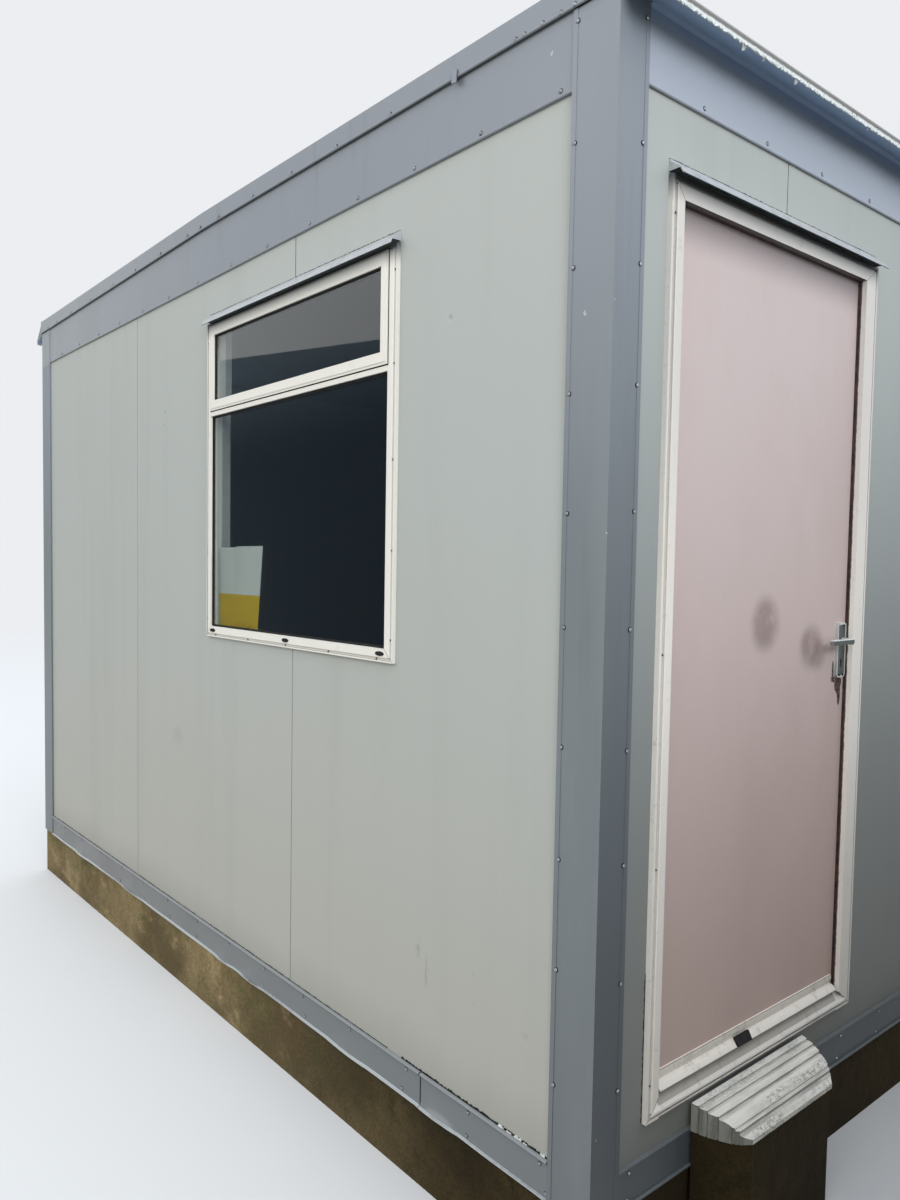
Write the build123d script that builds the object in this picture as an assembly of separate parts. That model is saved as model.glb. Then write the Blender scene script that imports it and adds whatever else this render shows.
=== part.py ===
from build123d import *
import os
from math import sqrt

# Portable site cabin on a low concrete plinth. Millimetres, +Z up.
# The origin is the middle of the plinth's bottom face.
# The door wall looks towards -Y, the window wall towards -X, and the long way runs along Y.

# Cabin body
cabin_length = 3600.0
cabin_width = 2550.0
panel_pitch = 1200.0
panel_thickness = 60.0
panel_groove = 2.5
trim_depth = 8.0
sheet = 2.5

# Heights above the ground
plinth_height = 215.0
flashing_height = 92.0
panel_lap = 7.0
floor_build_up = 100.0
fascia_lap = 18.0
fascia_height = 165.0
roof_deck_thickness = 160.0

# Plinth
plinth_inset = 6.0
plinth_bevel = 8.0

# Corner posts
post_side_leg = 120.0
post_end_leg = 98.0
post_hem = 12.0
post_hem_step = 1.5

# Foot flashing
flashing_lip = 6.0
flashing_lip_reach = 3.0
flashing_drip_reach = 4.0
flashing_face_set_back = 3.0
flashing_joint_from_corner = 556.0
flashing_joint_gap = 3.0

# Fascia, verge and eave
hem_height = 9.0
hem_bevel = 2.0
fascia_hem_step = 3.5
fascia_tuck = 8.0
verge_overhang = 4.0
verge_hem_proud = 3.0
verge_return = 60.0
eave_reach = 75.0
eave_lip = 18.0
eave_underside_rise = 40.0

# Roof sheet; the roof falls from the middle of its length to the front and to the rear
roof_fall = 20.0
roof_pan = 12.0
roof_rib_height = 31.5
roof_rib_pitch = 210.0
roof_rib_foot = 60.0
roof_rib_crown = 28.0
roof_edge_rib = 62.0

# Head line that the door and the window share, above the flashing's top, and the wall over it
head_line = 2160.0
wall_over_head_line = 173.0

# Edge that the door frame and the sill share: an outer bead, then a channel for the screws
edge_bead = 8.0
edge_channel = 8.0
edge_bead_proud = 4.0
edge_channel_proud = 1.5

# Door frame, measured from the near corner and from the flashing's top
frame_left = 185.0
frame_width = 963.0
frame_foot = 75.0
left_jamb_face = 41.0
right_jamb_face = 70.0
head_face = 48.0
frame_overlap = 7.0
frame_face_proud = 7.0
frame_face_bevel = 1.5
stop_back = 11.0
door_overlap = 12.0
door_gap = 7.0
door_joint = 674.0
sill_height = 52.0
sill_nose = 22.0
sill_reach = 8.0
fit_gap = 1.0

# Door leaf
leaf_thickness = 40.0
leaf_clearance = 5.0
leaf_foot_gap = 6.0

# Weather bar on the leaf
bar_end_gap = 10.0
bar_height = 16.0
bar_groove = 12.0
bar_strip = 13.0
bar_reach = 20.0
bar_lip = 4.0
bar_swell = 2.0
bar_strip_thickness = 5.0
bar_groove_floor = 1.0

# Hinges
hinge_count = 3
hinge_length = 90.0
hinge_end_distance = 260.0
hinge_knuckle_radius = 6.5
hinge_pin_radius = 3.0
hinge_pin_clearance = 0.2
hinge_axis_from_leaf = 10.0
hinge_axis_from_edge = 2.0
hinge_plate = 3.0
hinge_leaf_width = 22.0
hinge_plate_margin = 1.0
hinge_split_gap = 1.0

# Handle
handle_from_edge = 43.0
handle_height = 1128.0
plate_width = 46.0
plate_above = 50.0
plate_below = 102.0
plate_thickness = 8.0
plate_corner = 12.0
lever_length = 120.0
lever_bar_height = 15.0
lever_bar_depth = 9.0
lever_stand_off = 30.0
lever_neck_radius = 9.0
lever_plate_gap = 0.5
spindle_side = 8.0
spindle_hole = 14.0

# Window, measured from the near corner and from the flashing's top
window_near = 691.0
window_width = 1066.0
window_foot = 1059.0
window_stile = 33.0
window_rail = 37.0
window_top_rail = 12.0
window_overlap = 10.0
window_face_proud = 5.0
window_face_bevel = 2.0
window_bead = 5.0
window_channel = 6.0
window_bead_proud = 3.5
window_channel_proud = 1.5
window_depth = 50.0
transom_foot = 1835.0
transom_height = 25.0
sash_overlap = 7.0
sash_lap_top = 2.0
sash_stile = 27.0
sash_foot_rail = 34.0
sash_top_rail = 38.0
sash_proud = 10.0
sash_rim = 7.0
sash_rim_drop = 2.0
sash_depth = 26.0
glass_thickness = 20.0
sash_glass_set_back = 2.0
sash_glass_thickness = 14.0
glass_rebate = 8.0

# Trim round the window inside the cabin
inner_trim_overlap = 35.0
inner_trim_thickness = 22.0

# Rain hoods over the door and the window, with heights from the head line
hood_top = 32.0
hood_slope_top = 26.0
hood_fold = 6.0
hood_front = -7.0
hood_fold_reach = 20.0
hood_reach = 27.0
hood_sheet = 2.0
door_hood_overrun = 7.0

# Door step; where a ridge ends it has its shares of the reach, of the fall and of the end's taper,
# then the drop to the next ridge and how far its top swells
step_left = 362.0
step_width = 518.0
step_reach = 121.0
step_top = 64.0
step_fall = 56.0
step_ridges = [
    (0.14, 0.03, 0.04, 3.0, 0.0), (0.31, 0.1, 0.11, 4.0, 0.0), (0.5, 0.22, 0.26, 6.0, 0.0),
    (0.77, 0.58, 0.51, 2.5, 4.0), (0.84, 0.65, 0.6, 7.0, 0.0), (1.0, 1.0, 1.0, 0.0, -2.0)]
step_end_taper = 70.0
step_block_height = 68.0
step_end_groove_radius = 3.0
step_wall_gap = 0.5
footing_inset = 4.0

# Planes that the pieces share
half_width = cabin_width / 2
half_length = cabin_length / 2
flashing_top = plinth_height + flashing_height
panel_foot = flashing_top - panel_lap
wall_top = flashing_top + head_line + wall_over_head_line
floor_level = panel_foot + floor_build_up
fascia_bottom = wall_top - fascia_lap
fascia_top = fascia_bottom + fascia_height
roof_deck_top = wall_top + roof_deck_thickness
roof_top = roof_deck_top + roof_pan + roof_rib_height + sheet
frame_right = frame_left + frame_width
opening_left = frame_left + left_jamb_face
opening_right = frame_right - right_jamb_face
opening_head = head_line - head_face
sill_top = frame_foot + sill_height
window_far = window_near + window_width
transom_top = transom_foot + transom_height
step_right = step_left + step_width
return_line = half_length - trim_depth - verge_return
panel_face_x = half_width - trim_depth
panel_face_y = half_length - trim_depth
inner_x = panel_face_x - panel_thickness
inner_y = panel_face_y - panel_thickness


def door_x(distance):
    """Place along the door wall, counted from the near corner."""
    return distance - half_width


def side_y(distance):
    """Place along the window wall, counted from the near corner."""
    return distance - half_length


def up(height):
    """Height above the flashing's top edge."""
    return flashing_top + height


def block(x0, x1, y0, y1, z0, z1):
    """Rectangular solid between two corners."""
    centre = Location(((x0 + x1) / 2, (y0 + y1) / 2, (z0 + z1) / 2))
    return centre * Box(x1 - x0, y1 - y0, z1 - z0)


def polygon(points):
    """Flat face through a closed run of points."""
    return make_face(Polyline(*points, close=True))


def along_y(points, y0, y1):
    """Prism with an (x, z) outline that runs along Y."""
    plane = Plane(origin=(0, y0, 0), x_dir=(1, 0, 0), z_dir=(0, -1, 0))
    return extrude(plane * polygon(points), amount=-(y1 - y0))


def along_x(points, x0, x1):
    """Prism with a (y, z) outline that runs along X."""
    plane = Plane(origin=(x0, 0, 0), x_dir=(0, 1, 0), z_dir=(1, 0, 0))
    return extrude(plane * polygon(points), amount=x1 - x0)


def along_z(points, z0, z1):
    """Prism with an (x, y) outline that stands between two heights."""
    return extrude(Plane.XY.offset(z0) * polygon(points), amount=z1 - z0)


def folded(points, thickness):
    """Outline of a sheet folded along a run of points, with its thickness on the left of the run."""
    normals = []
    for (ax, ay), (bx, by) in zip(points, points[1:]):
        length = sqrt((bx - ax) ** 2 + (by - ay) ** 2)
        normals.append(((ay - by) / length, (bx - ax) / length))
    inner = []
    for index, (px, py) in enumerate(points):
        before = normals[max(index - 1, 0)]
        after = normals[min(index, len(normals) - 1)]
        share = thickness / (1 + before[0] * after[0] + before[1] * after[1])
        inner.append((px + (before[0] + after[0]) * share, py + (before[1] + after[1]) * share))
    return list(points) + inner[::-1]


def save(name, shape):
    """Writes one sub-part."""
    shape.label = name
    export_step(shape, os.path.join("parts", name + ".step"))


def concrete_plinth():
    """Solid low base with a bevelled top edge, slightly behind the cabin's face."""
    mass = block(
        -half_width + plinth_inset, half_width - plinth_inset,
        -half_length + plinth_inset, half_length - plinth_inset, 0, plinth_height)
    edges = mass.edges().filter_by(Axis.Z)
    return chamfer(edges, plinth_bevel)


def floor_deck():
    """Floor cassette: the base frame under the walls and the raised floor between them."""
    base = block(-panel_face_x, panel_face_x, -panel_face_y, panel_face_y, plinth_height, panel_foot)
    top = block(-inner_x, inner_x, -inner_y, inner_y, panel_foot, floor_level)
    return base + top


def over_roof(points, reach):
    """Prism with an (x, z) outline along Y: level under the eave returns, rising to the middle between them."""
    shape = along_y(points, -reach, -return_line) + along_y(points, return_line, reach)
    for end in (-1, 1):
        plane = Plane(origin=(0, end * return_line, 0), x_dir=(1, 0, 0), z_dir=(0, -1, 0))
        way = Vector(0, -end * return_line, roof_fall)
        shape = shape + extrude(plane * polygon(points), amount=way.length, dir=way.normalized())
    return shape


def roof_deck():
    """Insulated roof cassette that lies on the walls, highest at the middle of its length."""
    outline = [
        (-panel_face_y, wall_top), (panel_face_y, wall_top), (panel_face_y, roof_deck_top),
        (return_line, roof_deck_top), (0, roof_deck_top + roof_fall), (-return_line, roof_deck_top),
        (-panel_face_y, roof_deck_top)]
    return along_x(outline, -panel_face_x, panel_face_x)


def roof_sheet():
    """Ribbed weather sheet, with its ribs running front to back and a flat rib along each side."""
    foot = roof_deck_top
    pan = foot + roof_pan
    crown = roof_top - sheet
    edge = panel_face_x
    outline = [(-edge, foot), (edge, foot), (edge, crown), (edge - roof_edge_rib, crown)]
    shoulder = (roof_rib_foot - roof_rib_crown) / 2
    outline.append((edge - roof_edge_rib - shoulder, pan))
    count = int((2 * edge - 2 * roof_edge_rib - roof_rib_foot) // roof_rib_pitch)
    first = (count - 1) / 2 * roof_rib_pitch
    for number in range(count):
        middle = first - number * roof_rib_pitch
        outline.append((middle + roof_rib_foot / 2, pan))
        outline.append((middle + roof_rib_crown / 2, crown))
        outline.append((middle - roof_rib_crown / 2, crown))
        outline.append((middle - roof_rib_foot / 2, pan))
    outline.append((-edge + roof_edge_rib + shoulder, pan))
    outline.append((-edge + roof_edge_rib, crown))
    outline.append((-edge, crown))
    return over_roof(outline, panel_face_y)


def side_panel(side, y0, y1, groove_start, groove_end):
    """Standing wall panel of a long wall; side is -1 at the window wall and 1 at the other."""
    outer = side * panel_face_x
    inner = side * inner_x
    inset = side * panel_groove
    outline = [(inner, y0), (inner, y1)]
    if groove_end:
        outline += [(outer - inset, y1), (outer, y1 - panel_groove)]
    else:
        outline += [(outer, y1)]
    if groove_start:
        outline += [(outer, y0 + panel_groove), (outer - inset, y0)]
    else:
        outline += [(outer, y0)]
    return along_z(outline, panel_foot, wall_top)


def end_panel(side, x0, x1, z0, z1, groove_start, groove_end):
    """Standing wall panel of an end wall; side is -1 at the door wall and 1 at the back."""
    outer = side * panel_face_y
    inner = side * inner_y
    inset = side * panel_groove
    outline = [(x0, inner), (x1, inner)]
    if groove_end:
        outline += [(x1, outer - inset), (x1 - panel_groove, outer)]
    else:
        outline += [(x1, outer)]
    if groove_start:
        outline += [(x0 + panel_groove, outer), (x0, outer - inset)]
    else:
        outline += [(x0, outer)]
    return along_z(outline, z0, z1)


def window_hole():
    """Opening that the window takes out of the window wall."""
    return block(
        -half_width - panel_thickness, -inner_x + panel_thickness,
        side_y(window_near + window_overlap - fit_gap), side_y(window_far - window_overlap + fit_gap),
        up(window_foot + window_overlap - fit_gap), up(head_line - window_overlap + fit_gap))


def long_walls():
    """Both long walls, three panels each; the window is cut out of the first two on its side."""
    starts = [-panel_face_y, side_y(panel_pitch), side_y(2 * panel_pitch), panel_face_y]
    names = ["front", "middle", "rear"]
    for side, wall in ((-1, "window_wall"), (1, "far_side_wall")):
        for index, name in enumerate(names):
            panel = side_panel(side, starts[index], starts[index + 1], index > 0, index < 2)
            if side < 0 and index < 2:
                panel = panel - window_hole()
            save(wall + "_" + name + "_panel", panel)


def door_wall():
    """Door wall: a panel beside the door, two over it, one under it and two on its right."""
    hole_left = door_x(frame_left + frame_overlap - fit_gap)
    hole_right = door_x(frame_right - frame_overlap + fit_gap)
    hole_foot = up(frame_foot + frame_overlap - fit_gap)
    hole_head = up(head_line - frame_overlap + fit_gap)
    joint = door_x(door_joint)
    next_joint = joint + panel_pitch
    save("door_wall_left_panel", end_panel(-1, -inner_x, hole_left, panel_foot, wall_top, False, False))
    save("door_wall_over_door_left", end_panel(-1, hole_left, joint, hole_head, wall_top, False, True))
    save("door_wall_over_door_right", end_panel(-1, joint, hole_right, hole_head, wall_top, True, False))
    save("door_wall_under_door", end_panel(-1, hole_left, hole_right, panel_foot, hole_foot, False, False))
    save("door_wall_middle_panel", end_panel(-1, hole_right, next_joint, panel_foot, wall_top, False, True))
    save("door_wall_right_panel", end_panel(-1, next_joint, inner_x, panel_foot, wall_top, True, False))


def back_wall():
    """Back wall: one wide panel between two narrow ones, with the joints of the door wall."""
    left_joint = door_x(door_joint)
    right_joint = left_joint + panel_pitch
    save("back_wall_left_panel", end_panel(1, -inner_x, left_joint, panel_foot, wall_top, False, True))
    save("back_wall_middle_panel", end_panel(1, left_joint, right_joint, panel_foot, wall_top, True, True))
    save("back_wall_right_panel", end_panel(1, right_joint, inner_x, panel_foot, wall_top, True, False))


def corner_post(side, end):
    """Folded angle that covers a corner, with a raised hem along each edge."""
    step = post_hem_step
    run = [
        (post_side_leg, trim_depth), (post_side_leg, 0), (post_side_leg - post_hem, 0),
        (post_side_leg - post_hem, step), (step, step), (step, post_end_leg - post_hem),
        (0, post_end_leg - post_hem), (0, post_end_leg), (trim_depth, post_end_leg)]
    # the run counts (along the long wall, out of the end wall) first, then is turned into place
    outline = []
    for along, inward in folded(run, -sheet):
        outline.append((side * (half_width - inward), end * (half_length - along)))
    return along_z(outline, plinth_height, fascia_top)


def corner_posts():
    """Four corner posts."""
    for side, side_name in ((-1, "window_side"), (1, "far_side")):
        for end, end_name in ((-1, "front"), (1, "rear")):
            save(end_name + "_" + side_name + "_corner_post", corner_post(side, end))


def fascia_run(top):
    """Section of a fascia as (set back, height): a rolled hem below a flat face."""
    bottom = fascia_bottom
    step = fascia_hem_step
    run = [
        (trim_depth, bottom), (hem_bevel, bottom), (0, bottom + hem_bevel), (0, bottom + hem_height - step),
        (step, bottom + hem_height), (step, top), (trim_depth, top)]
    return folded(run, -sheet)


def side_trim(section, side, y0, y1):
    """Turns a (set back, height) section into a trim along a long wall."""
    return along_y([(side * (half_width - back), height) for back, height in section], y0, y1)


def end_trim(section, end, x0, x1):
    """Turns a (set back, height) section into a trim along an end wall."""
    return along_x([(end * (half_length - back), height) for back, height in section], x0, x1)


def fascias():
    """Fascia boards of folded sheet between the corner posts; those of the long walls end behind the verges."""
    side_end = half_length - post_side_leg
    end_end = half_width - post_end_leg
    side_run = fascia_run(fascia_top + roof_fall + fascia_tuck)
    end_run = fascia_run(fascia_top)
    save("window_wall_fascia", side_trim(side_run, -1, -side_end, side_end))
    save("far_side_wall_fascia", side_trim(side_run, 1, -side_end, side_end))
    save("door_wall_fascia", end_trim(end_run, -1, -end_end, end_end))
    save("back_wall_fascia", end_trim(end_run, 1, -end_end, end_end))


def verge_run():
    """Section of the verge trim: a rolled hem, a face over the fascia and a return on the roof's edge rib."""
    face = -verge_overhang
    hem = face - verge_hem_proud
    foot = fascia_top
    run = [
        (face, foot), (hem, foot + hem_bevel), (hem, foot + hem_height - verge_hem_proud),
        (face, foot + hem_height), (face, roof_top), (trim_depth + verge_return, roof_top)]
    return folded(run, -sheet)


def eave_run():
    """Section of the eave capping: roof return, slope, drip lip and underside."""
    lip_foot = fascia_top - eave_underside_rise
    return [
        (trim_depth + verge_return, roof_top), (0, roof_top), (-eave_reach, lip_foot + eave_lip),
        (-eave_reach, lip_foot), (0, fascia_top)]


def verge(side):
    """Verge trim of one side; its return stops where the eave cappings lie."""
    section = [(side * (half_width - back), height) for back, height in verge_run()]
    trim = over_roof(section, half_length)
    for end in (-1, 1):
        y0, y1 = sorted((end * return_line, end * half_length))
        trim = trim - block(-half_width, half_width, y0, y1, fascia_top + sheet, roof_top)
    return trim


def verges():
    """Flat trims along both long sides of the roof."""
    save("window_side_verge_trim", verge(-1))
    save("far_side_verge_trim", verge(1))


def eave(end):
    """Projecting eave capping at an end of the roof, with its two end plates."""
    run = eave_run()
    capping = end_trim(folded(run, sheet), end, -half_width, half_width)
    plate = [(0, fascia_top + sheet), run[1], run[2], run[3]]
    for x0 in (-half_width, half_width - sheet):
        capping = capping + end_trim(plate, end, x0, x0 + sheet)
    return capping


def eaves():
    """Eave cappings at the front and at the rear."""
    save("front_eave_capping", eave(-1))
    save("rear_eave_capping", eave(1))


def flashing_run():
    """Section of the foot flashing: wall return, rolled lip, face and drip."""
    top = flashing_top
    face = flashing_face_set_back
    run = [
        (trim_depth, top), (-flashing_lip_reach, top), (-flashing_lip_reach, top - flashing_lip),
        (face, top - flashing_lip), (face, plinth_height + sheet),
        (-flashing_drip_reach, plinth_height + sheet)]
    return folded(run, sheet)


def flashings():
    """Foot flashings between the corner posts; the window wall's is in two pieces."""
    side_end = half_length - post_side_leg
    end_end = half_width - post_end_leg
    joint = side_y(flashing_joint_from_corner)
    gap = flashing_joint_gap / 2
    save("window_wall_flashing_front", side_trim(flashing_run(), -1, -side_end, joint - gap))
    save("window_wall_flashing_rear", side_trim(flashing_run(), -1, joint + gap, side_end))
    save("far_side_wall_flashing", side_trim(flashing_run(), 1, -side_end, side_end))
    save("door_wall_flashing", end_trim(flashing_run(), -1, -end_end, end_end))
    save("back_wall_flashing", end_trim(flashing_run(), 1, -end_end, end_end))


def door_block(d0, d1, out0, out1, h0, h1):
    """Block on the door wall: along the wall, out of its face, and above the flashing's top."""
    return block(
        door_x(d0), door_x(d1), -half_length - out1, -half_length - out0, up(h0), up(h1))


def window_block(a0, a1, out0, out1, h0, h1):
    """Block on the window wall: along the wall, out of its face, and above the flashing's top."""
    return block(
        -half_width - out1, -half_width - out0, side_y(a0), side_y(a1), up(h0), up(h1))


def window_ring(a0, a1, out0, out1, h0, h1, holes):
    """Flat frame on the window wall with rectangular holes, each as (a0, a1, h0, h1)."""
    ring = window_block(a0, a1, out0, out1, h0, h1)
    for hole_a0, hole_a1, hole_h0, hole_h1 in holes:
        ring = ring - window_block(hole_a0, hole_a1, out0, out1, hole_h0, hole_h1)
    return ring


def grown(hole, margin):
    """A hole made larger all round."""
    a0, a1, h0, h1 = hole
    return (a0 - margin, a1 + margin, h0 - margin, h1 + margin)


pane_hole = (
    window_near + window_stile, window_far - window_stile, window_foot + window_rail, transom_foot)
sash_outline = (
    window_near + window_stile, window_far - window_stile,
    transom_top - sash_overlap, head_line - window_top_rail + sash_lap_top)
vent_hole = grown(sash_outline, -sash_overlap)
sash_hole = (
    sash_outline[0] + sash_stile, sash_outline[1] - sash_stile,
    sash_outline[2] + sash_foot_rail, sash_outline[3] - sash_top_rail)


def window_frame():
    """Outer frame with its transom: a beaded flange on the wall's face and a body in the opening."""
    holes = [pane_hole, vent_hole]
    outline = (window_near, window_far, window_foot, head_line)
    a0, a1, h0, h1 = outline
    front = window_ring(a0, a1, -trim_depth, window_channel_proud, h0, h1, holes)
    bead_hole = grown(outline, -window_bead)
    front = front + window_ring(a0, a1, -trim_depth, window_bead_proud, h0, h1, [bead_hole])
    a0, a1, h0, h1 = grown(outline, -window_bead - window_channel)
    face = window_ring(a0, a1, -trim_depth, window_face_proud, h0, h1, holes)
    outer_edges = face.faces().sort_by(Axis.X)[0].outer_wire().edges()
    front = front + chamfer(outer_edges, window_face_bevel)
    overlap = window_overlap
    body_sides = (window_near + overlap, window_far - overlap)
    body_heights = (window_foot + overlap, head_line - overlap)
    back = window_ring(
        *body_sides, -trim_depth - window_depth, -trim_depth, *body_heights,
        [grown(pane_hole, glass_rebate), vent_hole])
    return front + back


def vent_sash():
    """Outward opening top light, shut: a flange over the frame and a body in its hole."""
    a0, a1, h0, h1 = sash_outline
    flange = window_ring(a0, a1, window_face_proud, sash_proud - sash_rim_drop, h0, h1, [sash_hole])
    a0, a1, h0, h1 = grown(sash_outline, -sash_rim)
    flange = flange + window_ring(a0, a1, window_face_proud, sash_proud, h0, h1, [sash_hole])
    a0, a1, h0, h1 = grown(vent_hole, -fit_gap)
    front = window_ring(a0, a1, -sash_glass_set_back, window_face_proud, h0, h1, [sash_hole])
    back = window_ring(
        a0, a1, sash_proud - sash_depth, -sash_glass_set_back, h0, h1, [grown(sash_hole, glass_rebate)])
    return flange + front + back


def window_glass():
    """Sealed panes: the fixed one below the transom and the one in the top light."""
    pane = grown(pane_hole, glass_rebate - fit_gap)
    fixed = window_block(
        pane[0], pane[1], -trim_depth - glass_thickness, -trim_depth, pane[2], pane[3])
    light = grown(sash_hole, glass_rebate - fit_gap)
    back = -sash_glass_set_back - sash_glass_thickness
    moving = window_block(light[0], light[1], back, -sash_glass_set_back, light[2], light[3])
    return Compound(children=[fixed, moving])


def window_inner_trim():
    """Lining of the window's opening behind the frame, with a flat trim on the inner face of the wall."""
    hole = (
        pane_hole[0] - glass_rebate, pane_hole[1] + glass_rebate, pane_hole[2] - glass_rebate, vent_hole[3])
    frame_back = -trim_depth - window_depth
    wall_back = -trim_depth - panel_thickness
    a0, a1, h0, h1 = grown((window_near, window_far, window_foot, head_line), -window_overlap)
    lining = window_ring(a0, a1, wall_back, frame_back, h0, h1, [hole])
    a0, a1, h0, h1 = grown((window_near, window_far, window_foot, head_line), inner_trim_overlap)
    return lining + window_ring(a0, a1, wall_back - inner_trim_thickness, wall_back, h0, h1, [hole])


def hood_height(over_head_line):
    """Height of a point of a hood, counted from the head line."""
    return up(head_line + over_head_line)


def hood_outline():
    """Section of a rain hood as (out of the wall, height): wall leg, slope and a steeper front."""
    run = [
        (-trim_depth, hood_height(hood_top)), (-trim_depth, hood_height(hood_slope_top)),
        (hood_fold_reach, hood_height(hood_fold)), (hood_reach, hood_height(hood_front))]
    return folded(run, hood_sheet)


def hood_end():
    """Three-cornered end plate of a rain hood."""
    return [
        (-trim_depth, hood_height(hood_slope_top)), (hood_fold_reach, hood_height(hood_fold)),
        (-trim_depth, hood_height(hood_fold))]


def window_hood():
    """Rain hood over the window."""
    def place(section):
        return [(-half_width - out, height) for out, height in section]
    y0 = side_y(window_near)
    y1 = side_y(window_far)
    hood = along_y(place(hood_outline()), y0, y1)
    for start in (y0, y1 - hood_sheet):
        hood = hood + along_y(place(hood_end()), start, start + hood_sheet)
    return hood


def door_hood():
    """Rain hood over the door."""
    def place(section):
        return [(-half_length - out, height) for out, height in section]
    x0 = door_x(frame_left)
    x1 = door_x(frame_right + door_hood_overrun)
    hood = along_x(place(hood_outline()), x0, x1)
    for start in (x0, x1 - hood_sheet):
        hood = hood + along_x(place(hood_end()), start, start + hood_sheet)
    return hood


# The door leaf and the rebate that it shuts into
leaf_left = opening_left - door_overlap
leaf_right = opening_right + door_overlap
leaf_foot = sill_top + leaf_foot_gap
leaf_head = opening_head + door_overlap
leaf_face = stop_back + leaf_clearance
leaf_back = leaf_face + leaf_thickness
rebate_left = leaf_left - door_gap
rebate_right = leaf_right + door_gap
rebate_head = leaf_head + door_gap


def sill_mitre():
    """Space of the sill in front of the stop: it narrows upwards to the mitres of the jambs."""
    edge = edge_bead + edge_channel
    corners = [
        (door_x(frame_left), up(frame_foot)), (door_x(frame_right), up(frame_foot)),
        (door_x(frame_right - edge), up(frame_foot + edge)), (door_x(opening_right), up(sill_top)),
        (door_x(opening_left), up(sill_top)), (door_x(frame_left + edge), up(frame_foot + edge))]
    plane = Plane(origin=(0, -half_length + stop_back, 0), x_dir=(1, 0, 0), z_dir=(0, -1, 0))
    return extrude(plane * polygon(corners), amount=stop_back + max(sill_reach, frame_face_proud))


def door_frame_face():
    """Front of the door frame: an outer bead, a channel and a raised face."""
    left = frame_left
    right = frame_right
    front = door_block(left, right, -trim_depth, edge_channel_proud, frame_foot, head_line)
    bead = door_block(left, right, -trim_depth, edge_bead_proud, frame_foot, head_line)
    left = left + edge_bead
    right = right - edge_bead
    front = front + bead - door_block(
        left, right, edge_channel_proud, edge_bead_proud, frame_foot, head_line - edge_bead)
    left = left + edge_channel
    right = right - edge_channel
    top = head_line - edge_bead - edge_channel
    face = door_block(left, right, -trim_depth, frame_face_proud, frame_foot, top)
    return front + chamfer(face.faces().sort_by(Axis.Y)[0].edges(), frame_face_bevel)


def door_frame():
    """Jambs and head: the front, a stop behind it and the rebate for the leaf."""
    overlap = frame_overlap
    body = door_block(
        frame_left + overlap, frame_right - overlap, -leaf_back, -trim_depth,
        frame_foot + overlap, head_line - overlap)
    clear = door_block(opening_left, opening_right, -stop_back, frame_face_proud, frame_foot, opening_head)
    rebate = door_block(rebate_left, rebate_right, -leaf_back, -stop_back, frame_foot, rebate_head)
    return door_frame_face() + body - clear - rebate - sill_mitre()


def door_sill():
    """Sloping sill with a nose over the frame's bead and channel, mitred into the jambs."""
    edge = frame_foot + edge_bead + edge_channel
    section = [
        (edge_bead_proud, frame_foot), (edge_bead_proud, frame_foot + edge_bead),
        (edge_channel_proud, frame_foot + edge_bead), (edge_channel_proud, edge), (sill_reach, edge),
        (sill_reach, frame_foot + sill_nose), (-stop_back, sill_top),
        (-leaf_back, sill_top), (-leaf_back, frame_foot + frame_overlap),
        (-trim_depth, frame_foot + frame_overlap), (-trim_depth, frame_foot)]
    placed = [(-half_length - out, up(height)) for out, height in section]
    bar = along_x(placed, door_x(frame_left), door_x(frame_right))
    behind = door_block(rebate_left, rebate_right, -leaf_back, -stop_back, frame_foot, sill_top)
    return bar & (sill_mitre() + behind)


# The lever's spindle
spindle_x = door_x(leaf_right - handle_from_edge)
spindle_z = up(handle_height)


def across_door(out0, out1, shape):
    """Prism of a flat (x, z) face on the door wall between two depths."""
    plane = Plane(origin=(0, -half_length - out0, 0), x_dir=(1, 0, 0), z_dir=(0, -1, 0))
    return extrude(plane * shape, amount=out1 - out0)


def spindle_bore(out0, out1):
    """Hole for the spindle."""
    return across_door(out0, out1, Pos(spindle_x, spindle_z) * Circle(spindle_hole / 2))


def door_leaf():
    """Flush leaf with a hole for the spindle."""
    leaf = door_block(leaf_left, leaf_right, -leaf_back, -leaf_face, leaf_foot, leaf_head)
    return leaf - spindle_bore(-leaf_back, -leaf_face)


def weather_bar():
    """Bar across the leaf's foot: a strip, a groove and a projecting drip."""
    bar_top = leaf_foot + bar_height
    strip_foot = bar_top + bar_groove
    strip_top = strip_foot + bar_strip
    middle = (bar_strip_thickness + bar_reach) / 2
    lip_top = leaf_foot + bar_lip
    section = [
        (0, strip_top), (bar_strip_thickness, strip_top), (bar_strip_thickness, strip_foot),
        (bar_groove_floor, strip_foot), (bar_groove_floor, bar_top), (bar_strip_thickness, bar_top),
        (middle, (bar_top + lip_top) / 2 + bar_swell), (bar_reach, lip_top),
        (bar_reach, leaf_foot), (0, leaf_foot)]
    placed = [(-half_length + leaf_face - out, up(height)) for out, height in section]
    return along_x(placed, door_x(opening_left + bar_end_gap), door_x(opening_right - bar_end_gap))


def handle_plates():
    """Long plates on both faces of the leaf, with round ends and the spindle's hole."""
    middle = spindle_z + (plate_above - plate_below) / 2
    outline = Pos(spindle_x, middle) * RectangleRounded(plate_width, plate_above + plate_below, plate_corner)
    outside = across_door(-leaf_face, -leaf_face + plate_thickness, outline)
    inside = across_door(-leaf_back - plate_thickness, -leaf_back, outline)
    outside = outside - spindle_bore(-leaf_face, -leaf_face + plate_thickness)
    inside = inside - spindle_bore(-leaf_back - plate_thickness, -leaf_back)
    return Compound(children=[outside, inside])


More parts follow.
